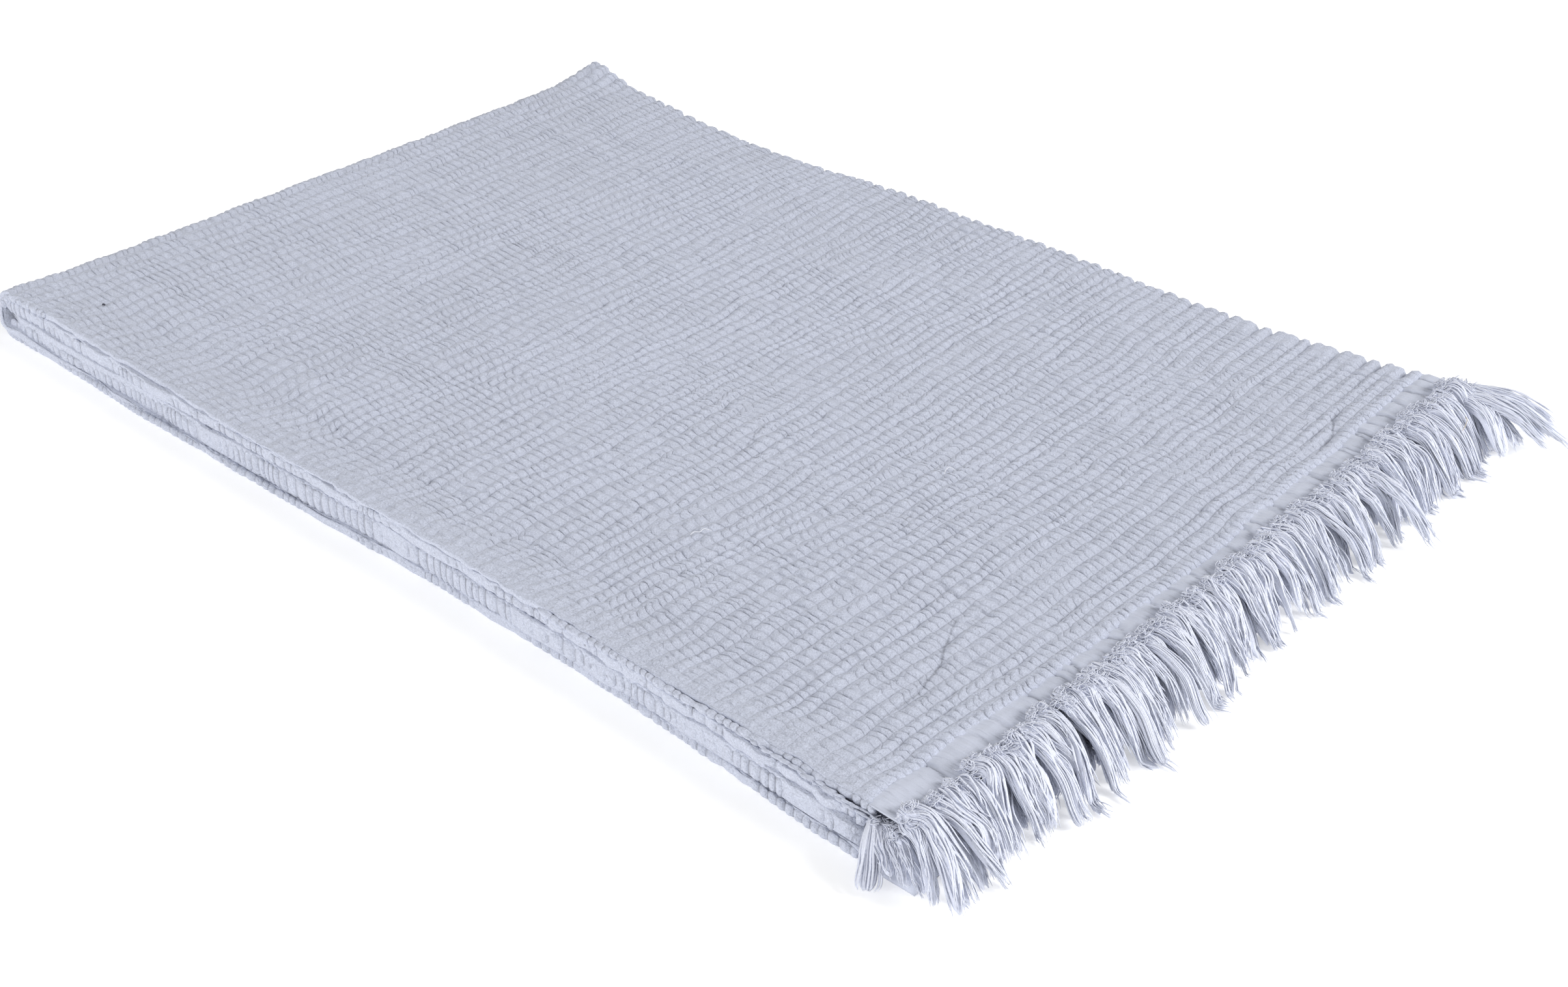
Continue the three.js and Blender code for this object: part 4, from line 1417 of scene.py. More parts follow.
        path = guide.path(spot, aside, lift)
        radius = bunch.yarn_radius * rng.uniform(0.65, 1.25, shape)
        radius = radius * np.sqrt(np.clip(1.02 - t**7, 0.04, 1))
        Strands(3).add(skin, path.reshape(-1, bunch.steps, 3), radius.reshape(-1, bunch.steps))

    def _curls(self, skin: Surface, guide: Guide, bunch: Bunch) -> None:
        """Adds fine curls of yarn at the roots of bunches.

        Args:
            skin: where the curls go.
            guide: the bunches' middle lines.
            bunch: their sizes.
        """
        rng = self.rng
        steps = self.CURL_STEPS
        shape = (len(guide.wide), bunch.curls, 1)
        t = np.linspace(0, 1, steps)[None, None, :]
        spot = rng.uniform(0.0, 0.09, shape) + t * rng.uniform(0.06, 0.2, shape)
        phase, loops = rng.uniform(0, 2 * math.pi, shape), rng.uniform(0.8, 2.4, shape)
        big, place = rng.uniform(0.6, 2.9, shape), rng.uniform(-1.2, 1.2, shape)
        turn = 2 * math.pi * loops * t + phase
        aside = place * guide.read(guide.wide, spot) + big * np.cos(turn)
        lift = guide.read(guide.high, spot) * np.sqrt(np.maximum(1 - 0.8 * place**2, 0)) + 0.6
        lift = lift + big * 0.7 * (1 + np.sin(turn * 0.9))
        path = guide.path(spot, aside, lift)
        path = path + np.array([1.0, 0, 0]) * (big * np.sin(turn))[..., None]
        radius = self.CURL_RADIUS * np.sqrt(np.clip(1.03 - t**8, 0.03, 1)) * np.ones(shape)
        Strands(3).add(skin, path.reshape(-1, steps, 3), radius.reshape(-1, steps))

    def build(
        self, name: str, parts: int, lay: LayFrame, material: bpy.types.Material
    ) -> list[bpy.types.Object]:
        """Builds this layer's fringe.

        Args:
            name: the pieces' name.
            parts: how many pieces it is split into along the heading.
            lay: where the lay-out lies in the frame.
            material: the yarn's finish.

        Returns:
            The pieces, from the front to the back.
        """
        places, grow = self.places()
        centres = self.centres(places)
        pieces = []
        for part, chosen in enumerate(np.array_split(np.arange(len(places)), parts)):
            skin = Surface()
            self.lay(skin, centres[chosen], self.BUNCHES[self.layer], grow[chosen])
            label = f"{name}_{part + 1}" if parts > 1 else name
            pieces.append(skin.build(label, lay, material))
        return pieces


@dataclass(frozen=True)
class CornerBunch:
    """One bunch that leaves the row: its line in the lay-out from root to tip, and its sizes."""

    line: tuple[tuple[float, float, float], ...]
    bunch: Bunch


class CornerYarn(YarnFringe):
    """Bunches that leave the row: spilled in front, fanned at the back and a few that hang further."""

    TASSEL = Bunch(4.5, 2.8, 30, 3, blunt=True, yarn_radius=0.8)
    LOOSE = Bunch(5.0, 2.6, 20, 6, tufts=3, taper=0.15, yarn_radius=0.52)
    FULL = Bunch(9.6, 5.4, 50, 10, tufts=4, taper=0.08, yarn_radius=0.68)
    LOCK = Bunch(6.5, 4.2, 34, 8, tufts=3, taper=0.2, yarn_radius=0.62)
    TWIST = Bunch(3.6, 2.8, 18, 3, blunt=True, yarn_radius=0.55)
    SMALL = Bunch(6.0, 3.2, 22, 4, tufts=2, yarn_radius=0.62)
    SPILLED = (
        CornerBunch(((922, 4, 26), (928, -4, 27), (933, -12, 21), (938, -19, 11), (943, -27, 3.2)), TASSEL),
        CornerBunch(((928, 3, 27), (935, -5, 26), (942, -10, 20), (948, -13, 13), (953, -15, 7)), LOOSE),
        CornerBunch(((934, 3, 27), (944, -4, 26), (953, -9, 19), (960, -12, 12), (966, -14, 6)), LOOSE),
        CornerBunch(((940, 3, 27), (951, -3, 26), (961, -7, 19), (969, -10, 12), (976, -12, 6)), LOOSE),
        CornerBunch(((944, 6, 34), (956, 2, 35), (968, -5, 26), (978, -11, 12), (985, -16, 3)), SMALL),
        CornerBunch(((944, 11, 34), (960, 8, 36), (978, 1, 27), (992, -7, 12), (1001, -13, 3)), LOCK),
    )
    FANNED = (
        CornerBunch(((943, 638, 34), (962, 641, 37), (980, 640, 31), (997, 634, 14), (1008, 628, 3)), FULL),
        CornerBunch(((943, 645, 34), (966, 650, 37), (988, 657, 33), (1008, 665, 17), (1023, 671, 4)), FULL),
        CornerBunch(((943, 651, 31), (964, 659, 35), (988, 668, 33), (1011, 678, 19), (1029, 689, 4)), FULL),
        CornerBunch(((943, 655, 28), (960, 665, 31), (981, 675, 28), (1001, 685, 15), (1017, 692, 4)), FULL),
        CornerBunch(((943, 641, 33), (962, 645, 36), (980, 649, 30), (998, 652, 14), (1010, 654, 4)), LOCK),
        CornerBunch(((943, 655, 20), (958, 667, 21), (975, 680, 14), (990, 690, 5), (1000, 696, 3)), SMALL),
    )
    HANGING = (
        CornerBunch(((944, 103, 35), (960, 105, 36), (980, 104, 26), (993, 101, 10), (1001, 99, 3)), TWIST),
        CornerBunch(((944, 180, 35), (962, 184, 37), (982, 183, 27), (997, 179, 11), (1006, 177, 3)), TWIST),
        CornerBunch(((944, 229, 35), (962, 231, 37), (982, 231, 28), (996, 228, 11), (1005, 226, 3)), TWIST),
        CornerBunch(((944, 497, 35), (964, 500, 37), (986, 500, 30), (1008, 496, 14), (1020, 494, 4)), LOCK),
    )

    def __init__(self, stack: FoldedStack) -> None:
        """Starts from the second layer's fringe."""
        super().__init__(stack, Layer.SECOND)
        self.rng = np.random.default_rng(77)

    def build_corners(self, lay: LayFrame, material: bpy.types.Material) -> bpy.types.Object:
        """Builds the spilled, the fanned and the hanging bunches as one piece.

        Args:
            lay: where the lay-out lies in the frame.
            material: the yarn's finish.

        Returns:
            The piece.
        """
        skin = Surface()
        t = np.linspace(0, 1, self.STEPS)
        for corner in (*self.SPILLED, *self.FANNED, *self.HANGING):
            path = through(corner.line, t)
            self.lay(skin, path[None], corner.bunch, np.ones(1))
        return skin.build("fringe_corners", lay, material)


@dataclass(frozen=True)
class Roll:
    """The plump puckered edge of one layer: heights of its underside and top along the open side."""

    layer: Layer
    under: Curve
    over: Curve
    half_depth: float
    start: float
    stop: float
    inward: float = 0.5


class SelvedgeRolls:
    """The selvedges that show on the open side: puckered rolls, and loops under the top near the fringe."""

    FIRST = Roll(
        Layer.FIRST,
        under=Curve((600, 31.8), (760, 31.2), (925, 30.2)),
        over=Curve((600, 35.2), (760, 36.0), (925, 35.4)),
        half_depth=1.9, start=640.0, stop=926.0, inward=-1.0,
    )  # fmt: skip
    SECOND = Roll(
        Layer.SECOND,
        under=Curve(
            (5, 20), (10, 17.8), (30, 17.6), (48, 19.4), (64, 18.4), (105, 17), (150, 19.2), (200, 21.2),
            (300, 24.2), (500, 25.6), (700, 23.2), (850, 21.7), (945, 21),
        ),
        over=Curve(
            (5, 26), (10, 28.2), (32, 30.6), (64, 32.2), (82, 31), (126, 31), (150, 31.2), (400, 33),
            (700, 31.5), (850, 30), (945, 29),
        ),
        half_depth=1.7, start=4.5, stop=915.0,
    )  # fmt: skip
    THIRD = Roll(
        Layer.THIRD,
        under=Curve(
            (5, 5), (12, 4), (20, 4.2), (45, 5), (80, 6.2), (350, 6.1), (550, 8.6), (750, 7.6), (945, 7.4),
        ),
        over=Curve(
            (5, 10), (12, 13), (20, 14), (30, 15.2), (48, 17), (64, 16.8), (105, 15.6), (150, 17.9),
            (200, 20), (300, 23.4), (500, 25), (700, 22.8), (850, 21.2), (945, 20),
        ),
        half_depth=2.1, start=5.0, stop=905.0,
    )  # fmt: skip
    FOURTH = Roll(
        Layer.FOURTH,
        under=Curve((0, 0), (945, 0)),
        over=Curve((8, 5.6), (20, 5), (45, 5), (80, 6.2), (350, 6.0), (550, 8.2), (750, 7.4), (945, 7.4)),
        half_depth=2.6, start=14.0, stop=922.0,
    )  # fmt: skip
    # The outer sheet's edge round the crosswise fold: places of its middle from the top down.
    FOLD = (
        (66, 33.9), (46, 33.7), (26, 33.0), (12, 30.4), (3, 25), (-2, 18.5), (-1.6, 12.5), (2.5, 8), (8, 5),
        (16, 3.2), (30, 2.8),
    )  # fmt: skip
    FOLD_HALF_DEPTH = 2.4
    # Height of the loops along the open side, and each strand's ends, loops, depth below that and reach.
    LEVEL = Curve((740, 33.2), (800, 33), (860, 32.6), (925, 31.4))
    LOOPS = ((806, 929, 18.5, 0.0, 2.8), (862, 927, 8.5, 2.4, 2.6))
    LOOP_STEPS = 300
    LOOP_SIDES = 8
    # Step along an edge, how many sides it has and how long its rounded ends are.
    STEP = 1.45
    SIDES = 10
    NOSE = 7

    def __init__(self, stack: FoldedStack) -> None:
        """Keeps the stack whose edges these are."""
        self.stack = stack
        self.noise = Noise(91)

    def _edge(self, skin: Surface, path: np.ndarray, high: np.ndarray, deep: float, seed: float) -> None:
        """Adds a flattened tube along an edge, whose section swells and slackens about every 8 mm.

        Args:
            skin: where it goes.
            path: its middle line, as points from one end to the other.
            high: half height at each point.
            deep: its half depth, at right angles to the open side.
            seed: picks its unevenness.
        """
        passed = passed_along(path[:, [0, 2]])
        left = np.minimum(passed, passed[-1] - passed)
        nose = np.sqrt(1 - (1 - np.clip(left / self.NOSE, 0, 1)) ** 2)
        n = self.noise
        number = passed / 8.2 + 0.9 * n.at(passed / 37, seed) + 0.35 * n.at(passed / 15, seed + 7)
        pucker = np.abs(np.sin(math.pi * number)) ** 0.7
        deep = deep * (0.4 + 0.8 * pucker + 0.25 * n.at(passed / 19, seed + 2)) * nose + 0.15
        high = high * (0.82 + 0.18 * pucker + 0.06 * n.at(passed / 23, seed + 4)) * nose + 0.15
        ahead = unit(np.gradient(path[:, [0, 2]], axis=0))
        turn = np.linspace(0, 2 * math.pi, self.SIDES, endpoint=False)[:, None]
        x = path[:, 0] - ahead[:, 1] * high * np.sin(turn)
        y = path[:, 1] + 0.5 * n.at(passed / 30, seed + 5) + deep * np.cos(turn)
        z = path[:, 2] + 0.4 * n.at(passed / 27, seed + 6) + ahead[:, 0] * high * np.sin(turn)
        z = np.maximum(self.stack.settle(x, y, z), 0.0)
        points = np.stack([x, y, z], -1)
        # These marks give each pucker a rib valley in the muslin finish, which bumps it and darkens it with
        # painted shade.
        marks = np.stack(np.broadcast_arrays(number, 0.5 + 0 * turn, 1.3 + 0 * turn), -1)
        skin.add(points.reshape(-1, 3), closed_grid(points), marks.reshape(-1, 3))

    def _roll(self, skin: Surface, roll: Roll) -> None:
        """Adds one layer's edge along the open side.

        Args:
            skin: where it goes.
            roll: its sizes.
        """
        x = np.arange(roll.start, roll.stop, self.STEP)
        under, over = roll.under.at(x), roll.over.at(x)
        y = self.stack.SELVEDGES[roll.layer].at(x) + roll.inward
        path = np.stack([x, y, (under + over) / 2], -1)
        self._edge(skin, path, (over - under) / 2, roll.half_depth, 3.1 * roll.layer.value)

    def _fold(self, skin: Surface) -> None:
        """Adds the outer sheet's edge round the crosswise fold, from the top layer to the lowest.

        Args:
            skin: where it goes.
        """
        knots = np.array(self.FOLD, float)
        passed = passed_along(knots)
        t = np.arange(0, passed[-1], self.STEP)
        x, z = (Curve(*zip(passed, knots[:, k])).at(t) for k in (0, 1))
        share = ease((t - 55) / 45)
        y = mix(0.6, self.stack.SELVEDGES[Layer.FOURTH].at(0.0) + 1.0, share)
        high = 2.6 + 2.2 * bell(t - 72, 20)
        self._edge(skin, np.stack([x, y, z], -1), high, self.FOLD_HALF_DEPTH, 12.4)

    def _loops(self, skin: Surface) -> None:
        """Adds two soft strands that weave in and out under the top, close to the fringe.

        Args:
            skin: where they go.
        """
        t = np.linspace(0, 1, self.LOOP_STEPS)
        ends = np.sin(math.pi * np.clip(t, 0.01, 0.99)) ** 0.3
        for start, stop, loops, lower, reach in self.LOOPS:
            turn = 2 * math.pi * loops * (t + 0.012 * self.noise.at(t * 9, lower))
            size = ease(t * 3) * (0.75 + 0.45 * self.noise.at(t * 23, 3 + lower))
            x = mix(start, stop, t) + 2.3 * size * np.sin(turn)
            y = 0.2 - reach * size * (0.6 + 0.5 * np.cos(turn)) - 0.6 * ease(t * 2 - 0.8)
            z = self.LEVEL.at(x) - lower + 1.2 * size * np.sin(turn + 1.2)
            path = np.stack([x, y, self.stack.settle(x, y, z)], -1)
            radius = (1.35 + 0.35 * self.noise.at(t * 40, 7)) * ends
            # In the muslin finish the strands' marks read as rib and crease numbers, so some loops darken
            # with painted crease shade.
            Strands(self.LOOP_SIDES).add(skin, path[None], radius[None])

    def build(self, lay: LayFrame, material: bpy.types.Material) -> bpy.types.Object:
        """Builds the rolls and the loops as one piece.

        Args:
            lay: where the lay-out lies in the frame.
            material: the muslin's finish.

        Returns:
            The piece.
        """
        skin = Surface()
        for roll in (self.FIRST, self.SECOND, self.THIRD, self.FOURTH):
            self._roll(skin, roll)
        self._fold(skin)
        self._loops(skin)
        return skin.build("selvedge_rolls", lay, material)


@dataclass(frozen=True)
class Thread:
    """One loose thread lying on the blanket: its name, points in the lay-out and half width."""

    name: str
    line: tuple[tuple[float, float, float], ...]
    radius: float

    STEPS = 41
    SIDES = 6

    def build(self, lay: LayFrame, material: bpy.types.Material) -> bpy.types.Object:
        """Builds the thread as a thin round strand.

        Args:
            lay: where the lay-out lies in the frame.
            material: its finish.

        Returns:
            The piece.
        """
        t = np.linspace(0, 1, self.STEPS)
        path = through(self.line, t)
        skin = Surface()
        radius = self.radius * np.sqrt(np.clip(1.04 - (2 * t - 1) ** 8, 0.05, 1))
        Strands(self.SIDES).add(skin, path[None], radius[None])
        return skin.build(self.name, lay, material)


# The loose threads, and the fleck of lint as a short thick one.
THREADS = (
    Thread(
        "loose_thread_front",
        (
            (659.5, 123.5, 38.4), (659.8, 127, 39.4), (662, 130.5, 38.8), (662.4, 134, 39.6),
            (666.5, 137.5, 38.2),
        ),
        0.3,
    ),
    Thread(
        "loose_thread_middle",
        ((737.7, 298.5, 37.6), (736.2, 302, 39.0), (735.8, 306.6, 38.8), (740, 308, 37.8)),
        0.3,
    ),
    Thread(
        "stray_tan_thread",
        ((966, 617, 34), (969, 620, 36), (973, 617.5, 36.6), (975, 612, 35), (976, 606, 32.5)),
        0.32,
    ),
    Thread("lint_speck", ((83.4, 40.8, 36.4), (84.6, 41.4, 37.0), (86.2, 41.7, 36.5)), 0.75),
)


class Shade:
    """A shader value that can be added, scaled and compared like a number."""

    def __init__(self, tree: "ShaderTree", socket: bpy.types.NodeSocket) -> None:
        """Wraps a socket of a tree."""
        self.tree, self.socket = tree, socket

    def _math(self, operation: str, *values: "Shade | float") -> "Shade":
        """Returns the result of one Math node."""
        node = self.tree.node("ShaderNodeMath", {"operation": operation}, dict(enumerate(values)))
        return Shade(self.tree, node.outputs[0])

    def __add__(self, other: "Shade | float") -> "Shade":
        """Returns the sum."""
        return self._math("ADD", self, other)

    def __radd__(self, other: "Shade | float") -> "Shade":
        """Returns the sum."""
        return self._math("ADD", other, self)

    def __sub__(self, other: "Shade | float") -> "Shade":
        """Returns the difference."""
        return self._math("SUBTRACT", self, other)

    def __rsub__(self, other: "Shade | float") -> "Shade":
        """Returns the difference."""
        return self._math("SUBTRACT", other, self)

    def __mul__(self, other: "Shade | float") -> "Shade":
        """Returns the product."""
        return self._math("MULTIPLY", self, other)

    def __rmul__(self, other: "Shade | float") -> "Shade":
        """Returns the product."""
        return self._math("MULTIPLY", other, self)

    def __truediv__(self, other: "Shade | float") -> "Shade":
        """Returns the quotient."""
        return self._math("DIVIDE", self, other)

    def to_whole(self) -> "Shade":
        """Returns the distance to the nearest whole number, from 0 to a half."""
        return self._math("ABSOLUTE", self._math("FRACT", self + 0.5) - 0.5)

    def bell(self, width: float) -> "Shade":
        """Returns 1 where the value is 0, falling softly to 0 at a few widths."""
        scaled = self / width
        return self._math("EXPONENT", (scaled * scaled) * -1.0)

    def clamped(self) -> "Shade":
        """Returns the value held between 0 and 1."""
        return self._math("MINIMUM", self._math("MAXIMUM", self, 0.0), 1.0)


class ShaderTree:
    """A material's node tree, built from short calls."""

    def __init__(self, name: str) -> None:
        """Starts a material with an empty tree.

        Args:
            name: the material's name.
        """
        self.material = bpy.data.materials.new(name)
        self.material.use_nodes = True
        self.tree = self.material.node_tree
        self.tree.nodes.clear()

    def node(self, kind: str, settings: dict | None = None, inputs: dict | None = None) -> bpy.types.Node:
        """Adds a node.

        Args:
            kind: the node's type.
            settings: its own settings by name.
            inputs: socket values or links, by socket name or number.

        Returns:
            The node.
        """
        made = self.tree.nodes.new(kind)
        for key, value in (settings or {}).items():
            setattr(made, key, value)
        for key, value in (inputs or {}).items():
            if isinstance(value, Shade):
                self.tree.links.new(value.socket, made.inputs[key])
            elif isinstance(value, bpy.types.NodeSocket):
                self.tree.links.new(value, made.inputs[key])
            else:
                made.inputs[key].default_value = value
        return made

    def mark(self, label: str) -> tuple[Shade, Shade]:
        """Reads one of the mesh's maps.

        Args:
            label: the map's name.

        Returns:
            Its two numbers.
        """
        uv = self.node("ShaderNodeUVMap", {"uv_map": label})
        split = self.node("ShaderNodeSeparateXYZ", None, {0: uv.outputs[0]})
        return Shade(self, split.outputs[0]), Shade(self, split.outputs[1])

    def place(self) -> tuple[Shade, Shade, Shade]:
        """Reads the place on the object.

        Returns:
            Its x, y and z in metres.
        """
        where = self.node("ShaderNodeTexCoord").outputs["Object"]
        split = self.node("ShaderNodeSeparateXYZ", None, {0: where})
        return tuple(Shade(self, out) for out in split.outputs)

    def noise(
        self, x: Shade, y: Shade, z: Shade | float = 0.0, scale: float = 1.0, detail: float = 2.0
    ) -> Shade:
        """Makes soft noise over a space.

        Args:
            x: first coordinate of the place.
            y: second coordinate.
            z: third coordinate.
            scale: how fine the noise is.
            detail: how many finer noises lie on it.

        Returns:
            The noise there, from 0 to 1.
        """
        spot = self.node("ShaderNodeCombineXYZ", None, {0: x, 1: y, 2: z}).outputs[0]
        made = self.node("ShaderNodeTexNoise", None, {"Vector": spot, "Scale": scale, "Detail": detail})
        return Shade(self, made.outputs[0])

    def tint(self, base: tuple[float, float, float], shade: Shade) -> bpy.types.NodeSocket:
        """Scales a colour.

        Args:
            base: the colour.
            shade: what it is scaled by.

        Returns:
            The socket of the scaled colour.
        """
        colour = self.node("ShaderNodeRGB")
        colour.outputs[0].default_value = (*base, 1.0)
        inputs = {0: colour.outputs[0], "Scale": shade}
        return self.node("ShaderNodeVectorMath", {"operation": "SCALE"}, inputs).outputs[0]

    def finish(
        self,
        colour: bpy.types.NodeSocket | tuple[float, ...],
        roughness: float,
        height: Shade | None = None,
        sheen: float = 0.0,
        glow: float = 0.0,
    ) -> bpy.types.Material:
        """Ends the tree in one cloth surface.

        Args:
            colour: socket or value of the base colour.
            roughness: how matt it is.
            height: relief in millimetres, or None.
            sheen: strength of the soft sheen.
            glow: strength of its own faint white light.

        Returns:
            The material.
        """
        inputs = {
            "Base Color": colour,
            "Roughness": roughness,
            "Sheen Weight": sheen,
            "Sheen Roughness": 0.5,
            "Specular IOR Level": 0.15,
            "Emission Color": WHITE,
            "Emission Strength": glow,
        }
        if height is not None:
            relief = {"Strength": 1.0, "Distance": 0.001, "Height": height}
            inputs["Normal"] = self.node("ShaderNodeBump", None, relief).outputs[0]
        surface = self.node("ShaderNodeBsdfPrincipled", None, inputs)
        self.node("ShaderNodeOutputMaterial", None, {"Surface": surface.outputs[0]})
        return self.material


@dataclass(frozen=True)
class MuslinFinish:
    """Matt crinkled gauze: fine creases between the lobes, a visible plain weave, painted shade in the
    creases and valleys and painted highlight flecks on the crests.
    """

    colour: tuple[float, float, float] = (0.53, 0.56, 0.66)
    # The three shade values below darken the colour as painted shade: crease_shade in the fine creases,
    # valley_shade in the rib valleys and main_shade in the main creases.
    crease_shade: float = 0.07
    crease_swell: float = 0.36
    crease_depth: float = 0.22
    valley_shade: float = 0.09
    valley_swell: float = 0.5
    valley_depth: float = 0.4
    main_shade: float = 0.18
    main_depth: float = 0.8
    main_width: float = 1.1
    crumple_depth: float = 3.5
    # Painted highlight: how much more strongly the weave lightens the crests of the lobes.
    crest_highlight: float = 0.34
    last_lobe: float = 98.5

    def material(self) -> bpy.types.Material:
        """Builds the finish from the cloth's marks, such as how deep a valley is, and from its place.

        Returns:
            The material.
        """
        tree = ShaderTree("crinkled_muslin")
        rib, lobe = tree.mark("first")
        ribs, creases = tree.mark("second")
        away, main = tree.mark("third")
        x, y, z = tree.place()
        stray = tree.noise(rib, lobe, scale=1.7) - 0.5
        beneath, main = (0.0 - main).clamped(), main.clamped()
        beside = 1.0 - (rib + stray * 0.1).to_whole() * 2.0
        between = 1.0 - (lobe + stray * 0.3).to_whole() * 2.0
        beside, between = beside * beside, between * between
        valley, crease = beside * beside, between * between
        ribs, creases = ribs + beneath * 0.3, creases + beneath * 0.3
        swell = beside * ribs * self.valley_swell + between * creases * (1.0 - valley) * self.crease_swell
        valley, crease = valley * valley * ribs, crease * crease * creases
        line = (away + tree.noise(x, y, z, scale=260.0) - 0.5).bell(self.main_width) * main
        crest = 1.0 - (valley + crease).clamped()
        threads = tree.noise(x * 600.0, y * 1500.0, z * 900.0, detail=1.0)
        crossing = tree.noise(x * 1500.0, y * 600.0, z * 900.0 + 5.0, detail=1.0)
        weave = threads + crossing - 1.0
        pebble = tree.noise(x, y, z, scale=230.0)
        fuzz = tree.noise(x, y, z, scale=900.0) - 0.5
        smooth = (1.2 - lobe * 0.2).clamped() + (lobe - self.last_lobe).clamped()
        crumple = (tree.noise(x * 55.0, y * 120.0, z * 130.0, detail=3.0) - 0.5) * smooth
        grooves = crease * self.crease_depth + valley * self.valley_depth + line * self.main_depth + swell
        rough = pebble * (0.5 + smooth * 0.9) + crumple * self.crumple_depth
        height = rough + weave * 0.3 + fuzz * 0.15 - grooves
        broad = tree.noise(x, y, z, scale=7.0) - 0.5
        # The weave varies the colour a little everywhere, as the threads' own tone, and much more strongly on
        # the crests: painted highlight flecks where light would catch the tops of the lobes.
        weave_and_crest_highlight = weave * (0.12 + crest * self.crest_highlight)
        # Painted shade: the colour darkens in the fine creases, the rib valleys and the main creases, a
        # little more on the underside, where shade would fall.
        dark = crease * self.crease_shade + valley * self.valley_shade + line * self.main_shade
        shade = 1.0 + broad * 0.05 + weave_and_crest_highlight - dark
        return tree.finish(tree.tint(self.colour, shade), 0.95, height, sheen=0.2)


@dataclass(frozen=True)
class HeadingFinish:
    """Smooth close weave, with painted shade in its tucks and painted light and shade along its pleats."""

    colour: tuple[float, float, float] = (0.57, 0.6, 0.7)

    def material(self) -> bpy.types.Material:
        """Builds the finish from the place on the strip and the depth of its tucks.

        Returns:
            The material.
        """
        tree = ShaderTree("heading_weave")
        tuck, _ = tree.mark("first")
        tuck = tuck * tuck
        x, y, z = tree.place()
        grain = tree.noise(x * 2000.0, y * 700.0, z * 900.0, detail=1.0) - 0.5
        broad = tree.noise(x, y, z, scale=60.0) - 0.5
        pleat = tree.noise(x * 30.0, y * 210.0, 0.0, detail=2.0) - 0.5
        height = grain * 0.12 + broad * 1.2 + pleat * 2.2 - tuck * 1.4
        # Painted shade darkens the tucks, and the pleats' colour follows their bump as painted light and
        # shade.
        shade = 1.0 + broad * 0.08 + grain * 0.1 + pleat * 0.12 - tuck * 0.24
        return tree.finish(tree.tint(self.colour, shade), 0.9, height, sheen=0.2)


@dataclass(frozen=True)
class YarnFinish:
    """Loose fluffy yarn with a faint sheen."""

    name: str
    colour: tuple[float, float, float] = (0.775, 0.805, 0.915)

    def material(self) -> bpy.types.Material:
        """Builds the finish from each strand's own number and the place on it.

        Returns:
            The material.
        """
        tree = ShaderTree(self.name)
        _, which = tree.mark("first")
        x, y, z = tree.place()
        fibre = tree.noise(x, y, z, scale=700.0) - 0.5
        shade = 0.96 + which * 0.08 + fibre * 0.16
        return tree.finish(tree.tint(self.colour, shade), 0.88, fibre * 0.5, sheen=0.22)


@dataclass(frozen=True)
class Lamp:
    """A wide soft lamp that faces the blanket: its place and size in metres and its power in watts."""

    name: str
    place: tuple[float, float, float]
    size: float
    energy: float


@dataclass(frozen=True)
class Studio:
    """A plain pale floor, soft light from all round and the camera at the photograph's angle."""

    azimuth: float = 42.05
    elevation: float = 33.39
    roll: float = 0.24
    stand: tuple[float, float, float] = (1484.6, -697.4, 838.2)
    lens: float = 48.28
    ambient: float = 0.43
    half_floor: float = 30.0

    LAMPS = (
        Lamp("main_lamp", (5.2, 3.4, 3.8), 3.0, 430.0),
        Lamp("front_lamp", (-0.6, -4.2, 1.5), 3.0, 110.0),
    )
    CORNERS = ((-1, -1), (1, -1), (1, 1), (-1, 1))

    def camera(self, lay: LayFrame) -> None:
        """Stands the camera in its measured place.

        Args:
            lay: where the lay-out lies in the frame.
        """
        a, e = math.radians(self.azimuth), math.radians(self.elevation)
        back = Vector((math.sin(a) * math.cos(e), -math.cos(a) * math.cos(e), math.sin(e)))
        data = bpy.data.cameras.new("camera")
        data.lens, data.sensor_width = self.lens, 36.0
        data.clip_start, data.clip_end = 0.05, 100.0
        held = bpy.data.objects.new("camera", data)
        held.rotation_mode = "QUATERNION"
        turn = Quaternion(back, math.radians(self.roll))
        held.rotation_quaternion = turn @ (-back).to_track_quat("-Z", "Y")
        held.location = lay.place(np.array(self.stand))
        bpy.context.scene.collection.objects.link(held)
        bpy.context.scene.camera = held

    def floor(self) -> bpy.types.Object:
        """Makes the floor, a wide pale square under the blanket.

        Returns:
            The floor.
        """
        tree = ShaderTree("floor")
        material = tree.finish((0.9, 0.9, 0.9, 1.0), 0.9, glow=0.35)
        mesh = bpy.data.meshes.new("floor")
        corners = [(x * self.half_floor, y * self.half_floor, 0) for x, y in self.CORNERS]
        mesh.from_pydata(corners, [], [(0, 1, 2, 3)])
        mesh.materials.append(material)
        plane = bpy.data.objects.new("floor", mesh)
        bpy.context.scene.collection.objects.link(plane)
        return plane

    def light(self) -> None:
        """Lights the scene evenly from all round, with two wide soft lamps to model the relief."""
        scene = bpy.context.scene
        world = bpy.data.worlds.new("studio")
        world.use_nodes = True
        background = world.node_tree.nodes["Background"]
        background.inputs[0].default_value = WHITE
        background.inputs[1].default_value = self.ambient
        scene.world = world
        for lamp in self.LAMPS:
            data = bpy.data.lights.new(lamp.name, "AREA")
            data.shape, data.size, data.energy = "SQUARE", lamp.size, lamp.energy
            held = bpy.data.objects.new(lamp.name, data)
            held.location = lamp.place
            held.rotation_mode = "QUATERNION"
            held.rotation_quaternion = Vector(lamp.place).to_track_quat("Z", "Y")
            scene.collection.objects.link(held)
        scene.view_settings.view_transform = "Standard"
        scene.view_settings.look = "None"


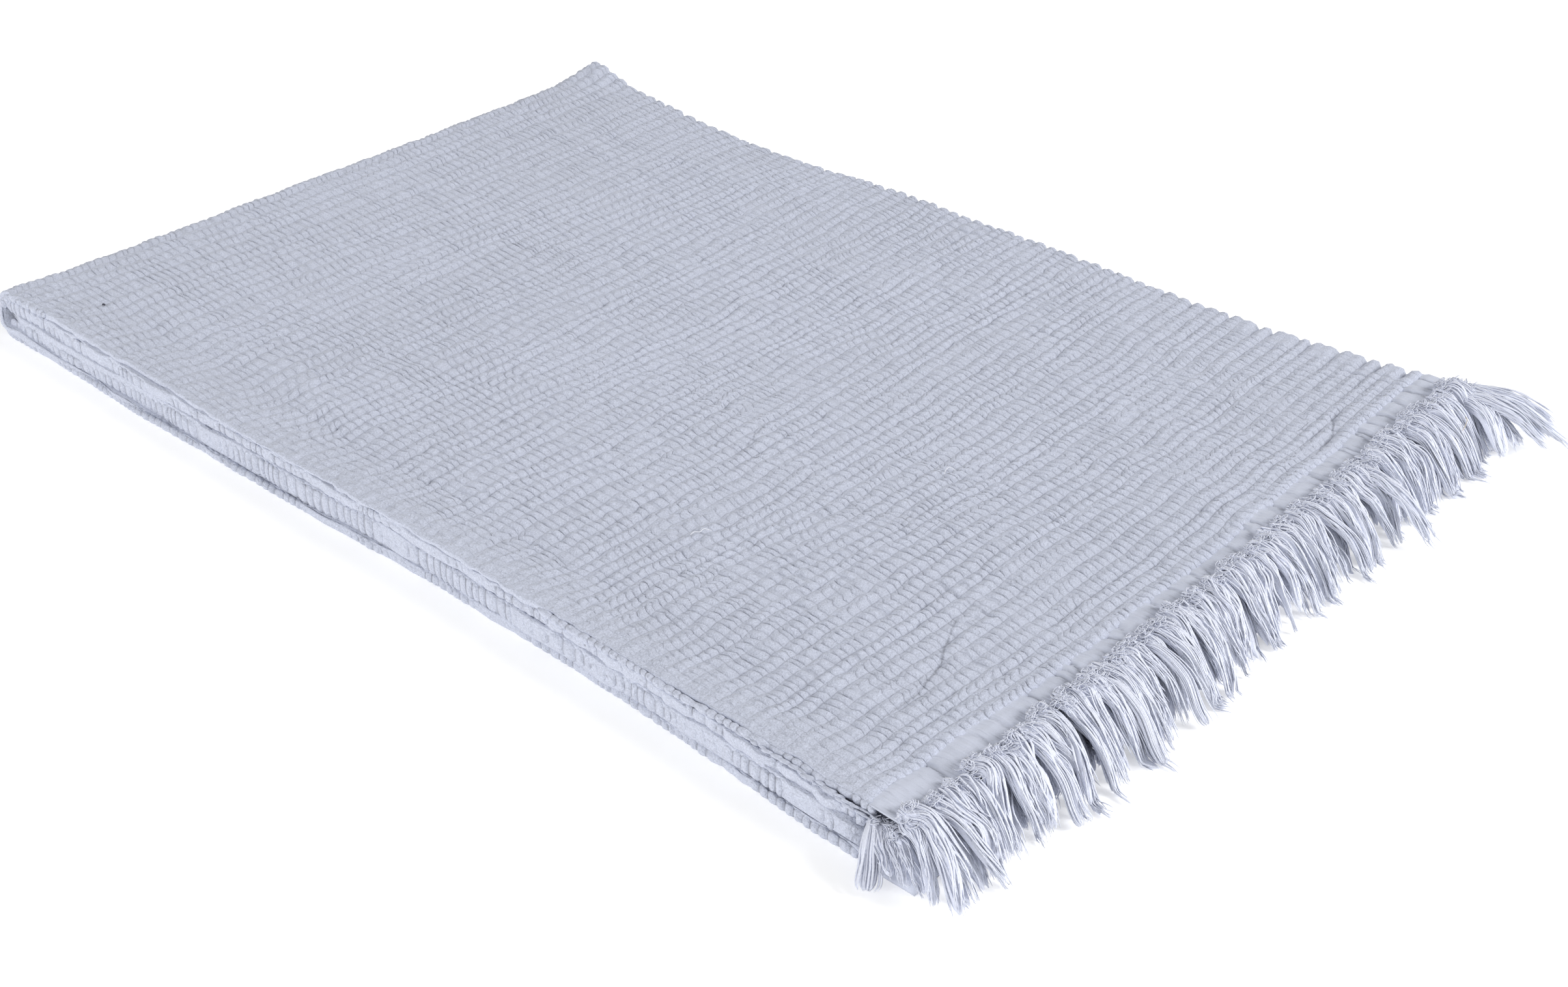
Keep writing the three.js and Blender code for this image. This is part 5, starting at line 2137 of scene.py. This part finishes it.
def put(piece: bpy.types.Object, slot: Slot, *nodes: Node) -> bpy.types.Object:
    """Fixes a finished piece to the blanket's body and hides the solids that it stands for.

    Args:
        piece: the piece.
        slot: its material slot; not used.
        nodes: the solids that it stands for.

    Returns:
        The piece.
    """
    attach(piece, "root")
    if nodes:
        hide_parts(*(node.value for node in nodes))
    return piece


def main() -> None:
    """Builds every piece in order, dresses it and sets up the studio."""
    logging.basicConfig(level=logging.INFO, format="%(message)s")
    lay = LayFrame.of_cloth()
    stack = FoldedStack()
    muslin = MuslinFinish().material()
    cloth = CrinkledCloth(stack, CrinkleSizes()).build(lay, muslin)
    put(cloth, Slot.MUSLIN, Node.CLOTH)

    plain = HeadingFinish().material()
    strip = HeadingSizes()
    upper = HeadingStrip(stack, strip, Layer.FIRST, Layer.SECOND, 5).build("heading_upper", lay, plain)
    lower = HeadingStrip(stack, strip, Layer.FOURTH, Layer.THIRD, 6).build("heading_lower", lay, plain)
    put(upper, Slot.HEADING)
    put(lower, Slot.HEADING)

    yarn = YarnFinish("fringe_yarn").material()
    fringes: list[bpy.types.Object] = []
    for layer, node, parts in (
        (Layer.FIRST, Node.UPPER_END, 2),
        (Layer.SECOND, Node.UPPER_END, 1),
        (Layer.THIRD, Node.LOWER_END, 1),
        (Layer.FOURTH, Node.LOWER_END, 1),
    ):
        name = f"fringe_{layer.name.lower()}_layer"
        pieces = YarnFringe(stack, layer).build(name, parts, lay, yarn)
        fringes += [put(piece, Slot.YARN, node) for piece in pieces]
    fringes.append(put(CornerYarn(stack).build_corners(lay, yarn), Slot.YARN, Node.UPPER_END))
    edges = put(SelvedgeRolls(stack).build(lay, muslin), Slot.MUSLIN)
    pale = YarnFinish("pale_thread", (0.8, 0.82, 0.88)).material()
    tan = YarnFinish("tan_thread", (0.62, 0.55, 0.45)).material()
    dark = YarnFinish("lint", (0.06, 0.06, 0.08)).material()
    loose = [
        put(thread.build(lay, material), slot)
        for thread, material, slot in zip(
            THREADS, (pale, pale, tan, dark), (Slot.YARN, Slot.YARN, Slot.STRAY, Slot.LINT)
        )
    ]

    studio = Studio()
    studio.floor()
    studio.camera(lay)
    studio.light()
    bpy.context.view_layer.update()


if __name__ == "__main__":
    main()
